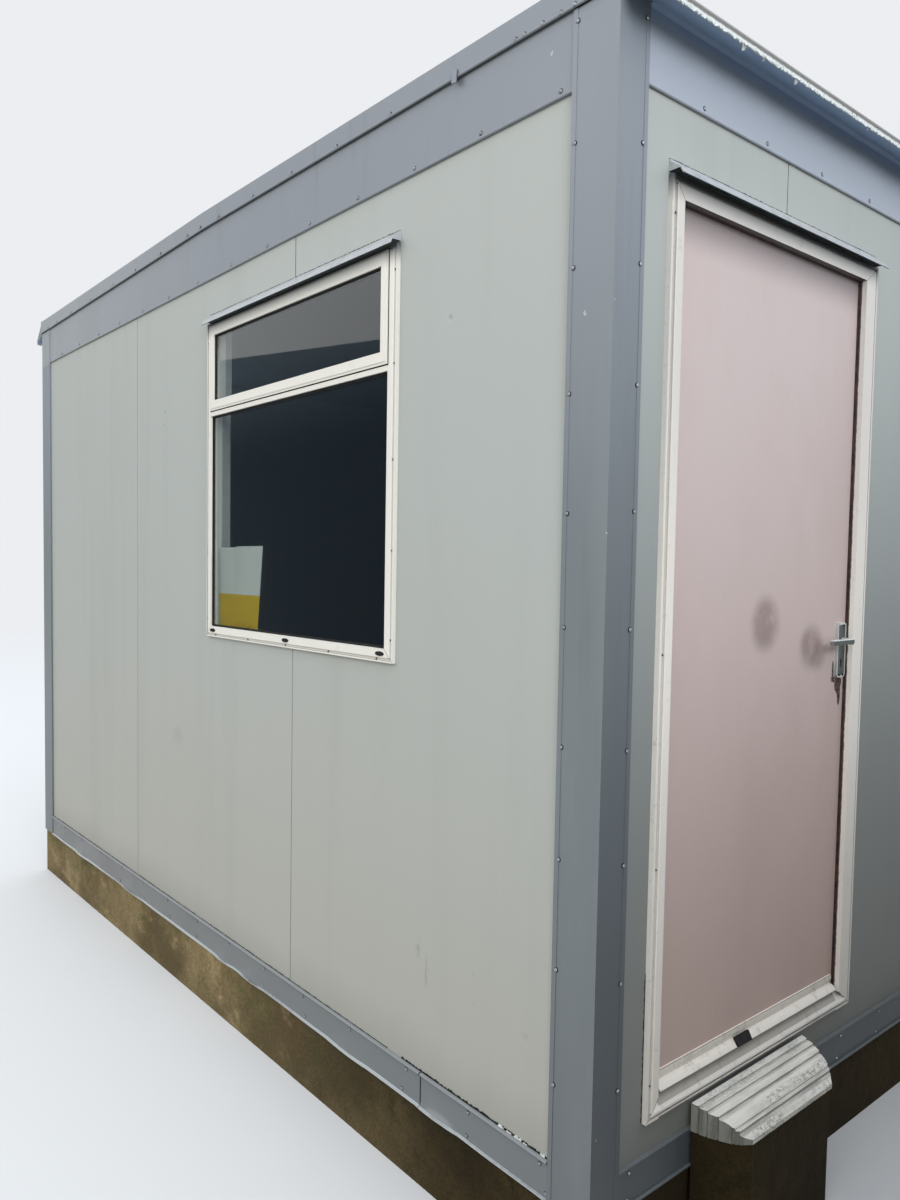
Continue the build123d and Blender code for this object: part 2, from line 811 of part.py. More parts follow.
def lever(out_face, direction):
    """One lever: a neck away from the plate and a bar that points to the hinges."""
    start = out_face + direction * lever_plate_gap
    end = out_face + direction * lever_stand_off
    bar_inner = end - direction * lever_bar_depth
    neck = across_door(min(start, end), max(start, end), Pos(spindle_x, spindle_z) * Circle(lever_neck_radius))
    middle = spindle_x + lever_neck_radius - lever_length / 2
    face = Pos(middle, spindle_z) * RectangleRounded(lever_length, lever_bar_height, lever_bar_height / 2 - 1)
    bar = across_door(min(bar_inner, end), max(bar_inner, end), face)
    return neck + bar


def lever_handle():
    """Outside and inside levers on one square spindle."""
    outer_plate = -leaf_face + plate_thickness
    inner_plate = -leaf_back - plate_thickness
    square = Pos(spindle_x, spindle_z) * Rectangle(spindle_side, spindle_side)
    spindle = across_door(inner_plate - lever_plate_gap, outer_plate + lever_plate_gap, square)
    return lever(outer_plate, 1) + spindle + lever(inner_plate, -1)


hinge_x = door_x(leaf_left - hinge_axis_from_edge)
hinge_y = -half_length + leaf_back + hinge_axis_from_leaf


def hinge_feet():
    """Lower ends of the hinges."""
    low = up(leaf_foot + hinge_end_distance)
    high = up(leaf_head - hinge_end_distance) - hinge_length
    return [low + (high - low) * number / (hinge_count - 1) for number in range(hinge_count)]


def hinge_half(side, z0, z1):
    """Plate, root and knuckle of one half; side is -1 on the frame and 1 on the leaf."""
    plate_y = -half_length + leaf_back
    edge = hinge_x + side * hinge_axis_from_edge
    if side < 0:
        plate_x0, plate_x1 = door_x(frame_left + frame_overlap) + hinge_plate_margin, edge
    else:
        plate_x0, plate_x1 = edge, edge + hinge_leaf_width
    plate = block(plate_x0, plate_x1, plate_y, plate_y + hinge_plate, z0, z1)
    root_x0, root_x1 = sorted((edge, edge + side * hinge_plate))
    root = block(root_x0, root_x1, plate_y, hinge_y, z0, z1)
    knuckle = Location((hinge_x, hinge_y, (z0 + z1) / 2)) * Cylinder(hinge_knuckle_radius, z1 - z0)
    return plate + root + knuckle


def hinges():
    """Lift-off hinges: the frame's halves carry the pins, and the leaf's halves turn on them."""
    frame_halves = []
    leaf_halves = []
    for foot in hinge_feet():
        middle = foot + hinge_length / 2
        head = foot + hinge_length
        pin = Location((hinge_x, hinge_y, (middle + head) / 2)) * Cylinder(hinge_pin_radius, head - middle)
        frame_halves.append(hinge_half(-1, foot, middle - hinge_split_gap / 2) + Pos(0, 0, -1) * pin)
        bore_radius = hinge_pin_radius + hinge_pin_clearance
        bore = Location((hinge_x, hinge_y, middle + hinge_length / 2)) * Cylinder(bore_radius, 2 * hinge_length)
        leaf_halves.append(hinge_half(1, middle + hinge_split_gap / 2, head) - bore)
    save("hinge_frame_halves", Compound(children=frame_halves))
    save("hinge_leaf_halves", Compound(children=leaf_halves))


def step_out(share):
    """How far from the corner's plane a share of the step's reach is."""
    back = flashing_drip_reach + step_wall_gap
    return back + (step_reach - back) * share


def step_plan(inset):
    """Outline of the step seen from above: the ends come in from ridge to ridge."""
    back = step_out(0)
    left = door_x(step_left) + inset
    right = door_x(step_right) - inset
    left_end = [(left, -half_length - back)]
    right_end = [(right, -half_length - back)]
    for reach, fall, taper, drop, swell in step_ridges:
        y = -half_length - min(step_out(reach), step_reach - inset)
        left_end.append((left + step_end_taper * taper, y))
        right_end.append((right - step_end_taper * taper, y))
    return polygon(left_end + right_end[::-1])


def step_section():
    """Section of the step: each ridge ends in a drop to the next one, and one of them is rounded."""
    foot = up(step_top - step_block_height)
    start = (-half_length - step_out(0), up(step_top))
    edges = Curve() + Line((start[0], foot), start)
    for reach, fall, taper, drop, swell in step_ridges:
        end = (-half_length - step_out(reach), up(step_top - step_fall * fall))
        if swell:
            middle = ((start[0] + end[0]) / 2, (start[1] + end[1]) / 2 + swell)
            edges = edges + ThreePointArc(start, middle, end)
        else:
            edges = edges + Line(start, end)
        start = end
        if drop:
            start = (end[0], end[1] - drop)
            edges = edges + Line(end, start)
    edges = edges + Line(start, (start[0], foot)) + Line((start[0], foot), (-half_length - step_out(0), foot))
    return make_face(edges)


def door_step():
    """Fluted step block: ridges run along it, and upright grooves cut its ends where they drop."""
    plane = Plane(origin=(door_x(step_left), 0, 0), x_dir=(0, 1, 0), z_dir=(1, 0, 0))
    foot = up(step_top - step_block_height)
    body = extrude(Plane.XY.offset(foot) * step_plan(0), amount=step_block_height)
    step = extrude(plane * step_section(), amount=step_right - step_left) & body
    for reach, fall, taper, drop, swell in step_ridges[:-1]:
        inset = step_end_taper * taper
        for x in (door_x(step_left) + inset, door_x(step_right) - inset):
            groove = Location((x, -half_length - step_out(reach), foot + step_block_height / 2))
            step = step - groove * Cylinder(step_end_groove_radius, step_block_height)
    return step


def step_footing():
    """Rough footing that carries the step down to the ground."""
    return extrude(step_plan(footing_inset), amount=up(step_top - step_block_height))


os.makedirs("parts", exist_ok=True)
save("concrete_plinth", concrete_plinth())
save("floor_deck", floor_deck())
save("roof_deck", roof_deck())
save("roof_sheet", roof_sheet())
long_walls()
door_wall()
back_wall()
corner_posts()
fascias()
verges()
eaves()
flashings()
save("window_frame", window_frame())
save("vent_sash", vent_sash())
save("window_glass", window_glass())
save("window_inner_trim", window_inner_trim())
save("window_hood", window_hood())
save("door_hood", door_hood())
save("door_frame", door_frame())
save("door_sill", door_sill())
save("door_leaf", door_leaf())
save("weather_bar", weather_bar())
save("handle_plates", handle_plates())
save("lever_handle", lever_handle())
hinges()
save("door_step", door_step())
save("step_footing", step_footing())
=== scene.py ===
import bmesh
import bpy
import math
import random
from mathutils import Matrix, Vector


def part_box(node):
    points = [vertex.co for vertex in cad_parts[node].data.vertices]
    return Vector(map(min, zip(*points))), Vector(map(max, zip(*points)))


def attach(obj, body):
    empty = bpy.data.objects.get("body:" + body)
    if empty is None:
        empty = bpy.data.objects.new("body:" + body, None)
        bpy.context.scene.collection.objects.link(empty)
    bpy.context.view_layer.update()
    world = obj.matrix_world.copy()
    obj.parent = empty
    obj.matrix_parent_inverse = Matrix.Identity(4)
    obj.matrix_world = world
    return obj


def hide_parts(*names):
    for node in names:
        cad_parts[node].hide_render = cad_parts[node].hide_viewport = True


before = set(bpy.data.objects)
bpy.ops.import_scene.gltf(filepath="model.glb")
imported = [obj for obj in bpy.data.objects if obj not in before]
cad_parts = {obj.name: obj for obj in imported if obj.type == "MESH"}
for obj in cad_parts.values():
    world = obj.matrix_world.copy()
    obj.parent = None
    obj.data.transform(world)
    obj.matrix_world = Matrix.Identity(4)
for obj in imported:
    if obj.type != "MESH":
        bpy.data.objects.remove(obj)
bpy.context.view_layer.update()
print("frame loaded,", len(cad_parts), "nodes")


# planes of the cabin, read from the frame
postLow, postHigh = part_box("front_window_side_corner_post")
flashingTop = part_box("door_wall_flashing")[1].z
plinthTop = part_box("concrete_plinth")[1].z
nearX = postLow.x
nearY = postLow.y
innerX = -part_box("window_wall_front_panel")[1].x
innerY = -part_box("door_wall_left_panel")[1].y
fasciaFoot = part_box("door_wall_fascia")[0].z
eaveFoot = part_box("front_eave_capping")[0].z
postReach = {"long": 0.121, "short": 0.099}  # of a corner post along the long and the short walls

# each wall has a corner at the flashing's top, a way along it and a way out of it
walls = {
    "window": (Vector((nearX, nearY, flashingTop)), Vector((0, 1, 0)), Vector((-1, 0, 0))),
    "far": (Vector((-nearX, nearY, flashingTop)), Vector((0, 1, 0)), Vector((1, 0, 0))),
    "door": (Vector((nearX, nearY, flashingTop)), Vector((1, 0, 0)), Vector((0, -1, 0))),
    "back": (Vector((nearX, -nearY, flashingTop)), Vector((1, 0, 0)), Vector((0, 1, 0))),
}
wallLength = {"window": -2 * nearY, "far": -2 * nearY, "door": -2 * nearX, "back": -2 * nearX}


def spot(wall, along, height, out=0.0):
    corner, alongWay, outWay = walls[wall]
    return corner + alongWay * along + outWay * out + Vector((0, 0, height))


def tone(code):
    # screen colour such as b2b8b4, as the linear colour that shaders want
    levels = [int(code[i:i + 2], 16) / 255 for i in (0, 2, 4)]
    return (*[v / 12.92 if v <= 0.04045 else ((v + 0.055) / 1.055) ** 2.4 for v in levels], 1.0)


class Wire:
    # a socket that can be used in a sum
    def __init__(self, finish, socket):
        self.finish = finish
        self.socket = socket

    def calc(self, operation, *values):
        return self.finish.node("ShaderNodeMath", {"operation": operation}, dict(enumerate(values)))

    def __add__(self, other):
        return self.calc("ADD", self, other)

    def __sub__(self, other):
        return self.calc("SUBTRACT", self, other)

    def __rsub__(self, other):
        return self.calc("SUBTRACT", other, self)

    def __mul__(self, other):
        return self.calc("MULTIPLY", self, other)

    def __truediv__(self, other):
        return self.calc("DIVIDE", self, other)

    def __lt__(self, other):
        return self.calc("LESS_THAN", self, other)

    def __gt__(self, other):
        return self.calc("GREATER_THAN", self, other)

    def __abs__(self):
        return self.calc("ABSOLUTE", self)

    __radd__ = __add__
    __rmul__ = __mul__


class Finish:
    # a material, or the world, that is put together by expressions
    def __init__(self, name, owner=None):
        self.owner = owner or bpy.data.materials.new(name)
        self.owner.use_nodes = True
        self.tree = self.owner.node_tree
        self.tree.nodes.clear()

    def node(self, kind, settings=None, sockets=None, out=0):
        # a socket takes a wire, a number, a vector or a screen colour's code
        made = self.tree.nodes.new(kind)
        for key, value in (settings or {}).items():
            setattr(made, key, value)
        for key, value in (sockets or {}).items():
            if isinstance(value, Wire):
                self.tree.links.new(value.socket, made.inputs[key])
            else:
                made.inputs[key].default_value = tone(value) if isinstance(value, str) else value
        return Wire(self, made.outputs[out]) if made.outputs else None

    def place(self):
        return self.node("ShaderNodeTexCoord", out="Object")

    def axes(self, vector):
        return [self.node("ShaderNodeSeparateXYZ", sockets={0: vector}, out=i) for i in range(3)]

    def stretch(self, vector, x, y, z):
        return self.node("ShaderNodeVectorMath", {"operation": "MULTIPLY"}, {0: vector, 1: (x, y, z)})

    def noise(self, vector, scale, detail=3.0, rough=0.55):
        sockets = {"Vector": vector, "Scale": scale, "Detail": detail, "Roughness": rough}
        return self.node("ShaderNodeTexNoise", sockets=sockets)

    def fade(self, value, low, high):
        # 0 below low, 1 above high, smooth between
        sockets = {"Value": value, "From Min": low, "From Max": high}
        return self.node("ShaderNodeMapRange", {"interpolation_type": "SMOOTHSTEP"}, sockets)

    def mix(self, factor, first, second, blend="MIX"):
        settings = {"data_type": "RGBA", "blend_type": blend}
        return self.node("ShaderNodeMix", settings, {0: factor, 6: first, 7: second}, out=2)

    def spotMask(self, vector, centre, radius, soft=0.5):
        # 1 at the centre of an ellipsoid, 0 outside; radius has a length for each axis
        moved = self.node("ShaderNodeVectorMath", {"operation": "SUBTRACT"}, {0: vector, 1: tuple(centre)})
        scaled = self.node("ShaderNodeVectorMath", {"operation": "DIVIDE"}, {0: moved, 1: tuple(radius)})
        reach = self.node("ShaderNodeVectorMath", {"operation": "LENGTH"}, {0: scaled}, out="Value")
        return 1 - self.fade(reach, 1 - soft, 1.0)

    def facing(self):
        return self.axes(self.node("ShaderNodeNewGeometry", out="Normal"))

    def scratch(self, along, up, start, end, width):
        # 1 on a straight line between two points of a wall, 0 beside it
        reach = math.dist(start, end)
        runAlong = (end[0] - start[0]) / reach
        runUp = (end[1] - start[1]) / reach
        onward = (along - start[0]) * runAlong + (up - start[1]) * runUp
        beside = (along - start[0]) * runUp - (up - start[1]) * runAlong
        return (abs(beside) < width) * (onward > 0.0) * (onward < reach)

    def coat(self, colour, roughness, height=None, **constants):
        # height is in metres
        sockets = {"Base Color": colour, "Roughness": roughness}
        sockets.update({key.replace("_", " "): value for key, value in constants.items()})
        if height is not None:
            sockets["Normal"] = self.node("ShaderNodeBump", sockets={"Distance": 1.0, "Height": height})
        shader = self.node("ShaderNodeBsdfPrincipled", sockets=sockets)
        self.node("ShaderNodeOutputMaterial", sockets={"Surface": shader})
        return self.owner


# wall paint: pale grey-green coated steel outside, plain lining inside
# each dent is (along, up, radius, depth), each scuff (along, up, half width, half height)
wallPaintLook = {
    "upper": "b0b4ae",
    "lower": "aeada3",
    "streak": "94978f",
    "foot": "858377",
    "speck": "7d7f7a",
    "dent": "7d807c",
    "scuff": "6e706c",
    "lining": "7d7a72",
    "dents": [
        (0.495, 1.926, 0.012, -0.0016), (2.134, 1.898, 0.014, -0.0016), (2.143, 1.849, 0.012, -0.0014),
        (2.016, 0.637, 0.06, -0.003), (0.199, 0.244, 0.016, -0.001)],
    "scuffs": [
        (0.545, 0.265, 0.01, 0.07), (0.37, 0.244, 0.005, 0.03), (0.487, 0.092, 0.008, 0.008),
        (0.58, 0.32, 0.014, 0.05), (0.372, 0.33, 0.004, 0.014)],
}

# painted shade: on the door wall the colour is multiplied by a tone that darkens from "high" down to "low",
# standing in for the shade the wall is in
doorShadeLook = {"top": "fafafa", "foot": "c5c8cc", "low": 0.9, "high": 2.7}


def doorShade(f, colour, y, z, share=1.0):
    look = doorShadeLook
    onDoorWall = (y < nearY + 0.03) * (f.facing()[1] < -0.3)
    shade = f.mix(f.fade(z, look["low"], look["high"]), look["foot"], look["top"])
    return f.mix(onDoorWall * share, colour, shade, "MULTIPLY")


def wallPaint():
    look = wallPaintLook
    f = Finish("wall_paint")
    p = f.place()
    x, y, z = f.axes(p)
    rise = f.fade(z + f.noise(p, 0.9, 2.0) * 0.8, 0.7, 2.3)
    colour = f.mix(rise, look["lower"], look["upper"])
    rain = f.fade(f.noise(f.stretch(p, 7, 7, 0.35), 1.0, 4.0, 0.6), 0.48, 0.78)
    colour = f.mix(rain * 0.18, colour, look["streak"])
    wavy = z + f.noise(f.stretch(p, 5, 5, 1), 1.0, 3.0) * 0.12
    foot = 1 - f.fade(wavy, flashingTop + 0.04, flashingTop + 0.2)
    colour = f.mix(foot * 0.3, colour, look["foot"])
    speck = f.fade(f.noise(p, 55, 2.0, 0.5), 0.72, 0.8)
    colour = f.mix(speck * 0.1, colour, look["speck"])
    height = f.noise(p, 1.6, 1.0) * 0.003 + f.noise(p, 420, 1.0) * 0.00003
    onWindowWall = x < nearX + 0.03
    for along, up, radius, depth in look["dents"]:
        dent = f.spotMask(p, spot("window", along, up), (0.2, radius, radius), 0.9) * onWindowWall
        height = height + dent * depth
        colour = f.mix(dent * 0.12, colour, look["dent"])
    for along, up, wide, tall in look["scuffs"]:
        mark = f.spotMask(p, spot("window", along, up), (0.2, wide, tall), 0.8) * onWindowWall
        mark = mark * f.fade(f.noise(f.stretch(p, 1, 1, 0.4), 90, 3.0), 0.42, 0.6)
        colour = f.mix(mark * 0.4, colour, look["scuff"])
    # painted shade on the door wall, darker towards its foot
    colour = doorShade(f, colour, y, z)
    # the lining inside is given a darker grey than its real pale board, as painted shade inside the cabin
    inside = (abs(x) < innerX + 0.002) * (abs(y) < innerY + 0.002)
    colour = f.mix(inside, colour, look["lining"])
    rough = 0.44 + f.noise(p, 3.0, 3.0) * 0.16
    return f.coat(colour, rough, height, Specular_IOR_Level=0.4)


# trim paint: blue-grey coated sheet of posts, fascias, verges and flashings
trimPaintLook = {
    "foot": "6a6f70",
    "middle": "767d7f",
    "top": "878d94",
    "flashing": "747878",
    "flashingFar": "7d7c79",
    "fascia": "a6adb6",
    "sunned": "a5aaa9",
    "faded": "909596",
    "grime": "5d6162",
    "fleck": "d4d7d6",
    "edge": "c6cac9",
    "lipShadow": "3c4143",
    "eaveShade": "a9bed8",
    "lipHeights": (0.0058, 0.013),  # of the bright lip and the dark line under it, down from the flashing's top
    "fold": (0.48, -0.094, 0.066, 0.032),  # along, up, half width, half height
}


def trimPaint():
    look = trimPaintLook
    f = Finish("trim_paint")
    p = f.place()
    x, y, z = f.axes(p)
    colour = f.mix(f.fade(z, 0.1, 1.5), look["foot"], look["middle"])
    colour = f.mix(f.fade(z, 1.5, 2.6), colour, look["top"])
    wear = f.fade(f.noise(f.stretch(p, 4, 4, 0.7), 1.2, 4.0, 0.6), 0.4, 0.72)
    colour = f.mix(wear * 0.3, colour, look["faded"])
    grime = f.fade(f.noise(f.stretch(p, 18, 18, 1.2), 1.0, 4.0, 0.65), 0.55, 0.8)
    colour = f.mix(grime * 0.22, colour, look["grime"])
    sunned = f.fade(y, -0.8, 1.9) * f.fade(z, fasciaFoot - 0.01, fasciaFoot)
    colour = f.mix(sunned * 0.5, colour, look["sunned"])
    onFlashing = (z < flashingTop + 0.001) * (abs(y) < -nearY - postReach["long"])
    worn = f.mix(f.fade(y, -1.3, 1.2), look["flashing"], look["flashingFar"])
    colour = f.mix(onFlashing * 0.75, colour, worn)
    # painted highlight on the flashing's lip, and a painted shadow line under it
    lipFoot, shadeFoot = [flashingTop - height for height in look["lipHeights"]]
    colour = f.mix(onFlashing * (z > lipFoot) * 0.22, colour, look["edge"])
    lipShadow = onFlashing * (z > shadeFoot) * (z < lipFoot)
    colour = f.mix(lipShadow * 0.6, colour, look["lipShadow"])
    along, up, wide, tall = look["fold"]
    fold = f.spotMask(p, spot("window", along, up), (0.2, wide, tall), 0.5) * (x < nearX + 0.03)
    colour = f.mix(fold * 0.24, colour, look["edge"])
    # painted highlight along the flashing's bottom drip edge
    drip = onFlashing * (1 - f.fade(z + f.noise(p, 70, 3.0) * 0.003, plinthTop + 0.004, plinthTop + 0.007))
    colour = f.mix(drip * 0.8, colour, look["edge"])
    overPanels = (z > fasciaFoot) * (abs(x) < -nearX - postReach["short"]) * (y < nearY + 0.03)
    # painted shade on the posts and flashing of the door wall, but not on its fascia
    colour = doorShade(f, colour, y, z, 1 - overPanels)
    # painted light: the fascia over the door wall's panels is given a paler tone, standing in for the light
    # that reaches it under the eave
    colour = f.mix(overPanels, colour, look["fascia"])
    # painted shade: a blue tint along the top of that fascia, under the eave
    wavy = z + f.noise(f.stretch(p, 3, 0, 0), 2.0, 3.0) * 0.02
    under = overPanels * f.fade(wavy, eaveFoot, eaveFoot + 0.045)
    colour = f.mix(under * 0.8, colour, look["eaveShade"])
    fleck = f.fade(f.noise(p, 38, 2.0, 0.4), 0.785, 0.8)
    colour = f.mix(fleck * 0.45, colour, look["fleck"])
    height = f.noise(p, 3.5, 2.0) * 0.0022 + f.noise(p, 300, 2.0) * 0.00004
    rough = 0.38 + wear * 0.15
    return f.coat(colour, rough, height, Specular_IOR_Level=0.45)


# eave cappings: grey lip with a chalky corroded lower edge, and a blue painted shade on the underside
eavePaintLook = {
    "grey": "8b9196",
    "brown": "83807a",
    "soffitShade": "9db4d0",
    "lip": "dfe4e0",
    "lipTop": "7d7a73",
    "rust": "4c4a45",
}


def eavePaint():
    look = eavePaintLook
    f = Finish("eave_paint")
    p = f.place()
    x, y, z = f.axes(p)
    grey = f.fade(f.noise(f.stretch(p, 5, 5, 2), 2.0, 5.0, 0.65), 0.35, 0.65)
    colour = f.mix(grey, look["grey"], look["brown"])
    # painted shade: faces turned down are given a blue tone
    down = f.facing()[2] < -0.3
    colour = f.mix(down, colour, look["soffitShade"])
    wavy = abs(y) + f.noise(f.stretch(p, 1, 0, 0), 34, 5.0, 0.7) * 0.02
    front = f.fade(wavy, -nearY + 0.077, -nearY + 0.083)
    ragged = f.noise(f.stretch(p, 1, 0, 0), 60, 6.0, 0.8) * 0.01
    low = 1 - f.fade(z + ragged, eaveFoot + 0.012, eaveFoot + 0.017)
    flaky = front * low * f.fade(f.noise(p, 120, 5.0, 0.75), 0.3, 0.46)
    colour = f.mix(front * (1 - low), colour, look["lipTop"])
    colour = f.mix(flaky, colour, look["lip"])
    rust = f.fade(f.noise(p, 90, 4.0, 0.7), 0.6, 0.68) * front
    colour = f.mix(rust * 0.7, colour, look["rust"])
    height = f.noise(p, 110, 5.0, 0.7) * front * 0.003 + f.noise(p, 30, 2.0) * 0.0003
    return f.coat(colour, 0.5 + front * 0.3, height, Specular_IOR_Level=0.35)


# rain hoods: grey sheet outside, and a dark painted shade on the faces turned down
hoodPaintLook = {"pale": "b4b7b7", "grime": "868c8f", "speck": "5f6565", "below": "596976"}


def hoodPaint():
    look = hoodPaintLook
    f = Finish("hood_paint")
    p = f.place()
    grime = f.fade(f.noise(f.stretch(p, 6, 6, 2), 3.0, 5.0, 0.65), 0.45, 0.75)
    colour = f.mix(grime * 0.5, look["pale"], look["grime"])
    speck = f.fade(f.noise(p, 170, 3.0, 0.6), 0.56, 0.66)
    colour = f.mix(speck * 0.25, colour, look["speck"])
    # painted shade: the underside is given a dark tone
    below = f.facing()[2] < -0.2
    colour = f.mix(below, colour, look["below"])
    return f.coat(colour, 0.42 + grime * 0.2, f.noise(p, 40, 2.0) * 0.0003, Specular_IOR_Level=0.4)


# stoved white coating of the window and door frames; each line on the sill is (low, high, share, tone): painted
# highlights, painted shadow lines and a darker band on the sill and the weather bar
frameCoatingLook = {
    "white": "ece9df",
    "doorLow": "f9f2e7",
    "doorHigh": "d2cdc6",
    "warm": "e0dacb",
    "grime": "8d8a7c",
    "speck": "5f5c50",
    "hoodShadow": "525b63",
    "gap": "4b4a46",
    "corner": "2b2927",
    "runs": "9b927d",
    "barShadow": "55482f",
    "revealShadeAndDirt": "3d2a27",
    "headUndersideShade": "2f2e2e",
    "sillEnds": (0.232, 1.07),
    "sillHighlightAndShadeLines": [
        (0.0925, 0.0975, 0.6, "ffffff"), (0.0885, 0.0912, 0.6, "6b675c"), (0.074, 0.0782, 0.8, "35322e"),
        (0.0978, 0.127, 0.08, "8d8775"), (0.1308, 0.1348, 0.85, "2a2725"), (0.1495, 0.1575, 0.4, "7d7a70"),
        (0.1578, 0.1612, 0.85, "2a2725"), (0.173, 0.175, 0.8, "2a2725")],
}

# each frame's outline is (left, right, low, high) on its wall; a mitre is where two of its runs meet
frameShape = {
    "window": {
        "outline": (0.691, 1.757, 1.059, 2.16),
        "bead": 0.005,
        "channel": 0.006,
        "grimeShare": 0.18,
        "mitres": [((0.692, 1.06), (0.724, 1.096)), ((1.756, 1.06), (1.724, 1.096)),
                   ((0.692, 2.158), (0.724, 2.148))],
    },
    "door": {
        "outline": (0.185, 1.148, 0.075, 2.16),
        "bead": 0.008,
        "channel": 0.008,
        "grimeShare": 0.34,
        "mitres": [((0.186, 0.076), (0.226, 0.128)), ((1.147, 0.076), (1.078, 0.128)),
                   ((0.186, 2.159), (0.226, 2.112)), ((1.147, 2.159), (1.078, 2.112))],
    },
}


def frameCoating(side):
    look = frameCoatingLook
    shape = frameShape[side]
    f = Finish(side + "_frame_coating")
    p = f.place()
    x, y, z = f.axes(p)
    up = z - flashingTop
    along = x - nearX if side == "door" else y - nearY
    white = look["white"]
    # painted light and shade: the door frame is lighter at its foot and darker towards its head
    if side == "door":
        white = f.mix(f.fade(z, 1.3, 2.2), look["doorLow"], look["doorHigh"])
    colour = f.mix(f.noise(p, 2.5, 3.0) * 0.5, white, look["warm"])
    grime = f.fade(f.noise(p, 26, 5.0, 0.7), 0.58, 0.76)
    colour = f.mix(grime * shape["grimeShare"], colour, look["grime"])
    speck = f.fade(f.noise(p, 160, 2.0), 0.68, 0.76)
    colour = f.mix(speck * shape["grimeShare"], colour, look["speck"])
    # painted shadow of the rain hood: the frame is multiplied darker towards its head
    colour = f.mix(f.fade(up, 2.095, 2.165), colour, look["hoodShadow"], "MULTIPLY")
    left, right, low, high = shape["outline"]
    inset = along.calc("MINIMUM", along - left, right - along)
    inset = inset.calc("MINIMUM", inset, up.calc("MINIMUM", up - low, high - up))
    bead = shape["bead"]
    channel = (inset > bead) * (inset < bead + shape["channel"])
    colour = f.mix(channel * 0.3, colour, look["grime"])
    seam = abs(inset - bead) < 0.0007
    colour = f.mix(seam * 0.55, colour, look["gap"])
    for start, end in shape["mitres"]:
        colour = f.mix(f.scratch(along, up, start, end, 0.0008) * 0.8, colour, look["gap"])
    if side == "door":
        colour = doorFrameMarks(f, colour, p, along, up, y)
    height = f.noise(p, 60, 2.0) * 0.00015
    return f.coat(colour, 0.34 + grime * 0.3, height, Specular_IOR_Level=0.45)


def doorFrameMarks(f, colour, p, along, up, y):
    # dirt, painted shadow and painted highlight lines of the sill, the weather bar and the jambs' inner sides
    look = frameCoatingLook
    start, end = look["sillEnds"]
    # painted shadow in the gap at the weather bar's left end
    corner = f.spotMask(p, spot("door", 0.2305, 0.142), (0.007, 0.06, 0.022), 0.5)
    colour = f.mix(corner, colour, look["corner"])
    runs = f.fade(f.noise(f.stretch(p, 30, 30, 2), 1.0, 4.0, 0.6), 0.52, 0.7) * (up < 0.175)
    colour = f.mix(runs * 0.35, colour, look["runs"])
    # painted shadow of the weather bar on the sill, mixed with brown dirt
    barShadow = (up > 0.1) * (up < 0.1285) * (y > nearY - 0.0035) * (along > start) * (along < end)
    colour = f.mix(barShadow * (0.5 + f.fade(up, 0.11, 0.128) * 0.35), colour, look["barShadow"])
    # painted highlights and painted shadow lines along the sill's nose, the weather bar's foot and its groove
    for low, high, share, code in look["sillHighlightAndShadeLines"]:
        line = (up > low) * (up < high) * (along > start) * (along < end) * (y < nearY + 0.012)
        colour = f.mix(line * share, colour, code)
    facing = f.facing()
    # dark brown on the right jamb's inner side: painted shade and rusty dirt
    ragged = f.noise(p, 50, 4.0, 0.7) * 0.006
    revealShadeAndDirt = (facing[0] < -0.7) * (along > 1.0) * (y + ragged > nearY + 0.0085) * (up > 0.128)
    colour = f.mix(revealShadeAndDirt * 0.9, colour, look["revealShadeAndDirt"])
    # painted shade on the faces turned down under the frame's head
    headUndersideShade = (facing[2] < -0.7) * (up > 2.0) * (y > nearY - 0.006)
    return f.mix(headUndersideShade * 0.9, colour, look["headUndersideShade"])


# faded red door skin, soiled by use round the handle, with a painted hood shadow along its top
# each smudge is (along, up, wide, tall, share), each drip (along, up, wide, tall)
doorPaintLook = {
    "upper": "cbbbb6",
    "lower": "ccb4a9",
    "patch": "bda9a1",
    "weave": "8f7f7b",
    "soil": "4a2a16",
    "hoodShadow": "b4b6b8",
    "drip": "2c1513",
    "scratch": "e3dcd8",
    "smudges": [
        (0.655, 1.185, 0.085, 0.09, 0.5), (0.892, 1.116, 0.08, 0.078, 0.4), (0.868, 1.128, 0.042, 0.048, 0.16),
        (0.93, 1.09, 0.058, 0.052, 0.3)],
    "drips": [
        (1.05, 1.012, 0.027, 0.022), (1.05, 0.998, 0.02, 0.03), (1.055, 0.978, 0.013, 0.046),
        (1.036, 1.005, 0.01, 0.026), (1.017, 1.045, 0.008, 0.04), (1.014, 1.022, 0.01, 0.012),
        (1.026, 1.02, 0.014, 0.012)],
    "scratches": [
        ((0.325, 0.171), (0.338, 0.128)), ((0.338, 0.128), (0.345, 0.104)), ((0.318, 0.15), (0.327, 0.122))],
}


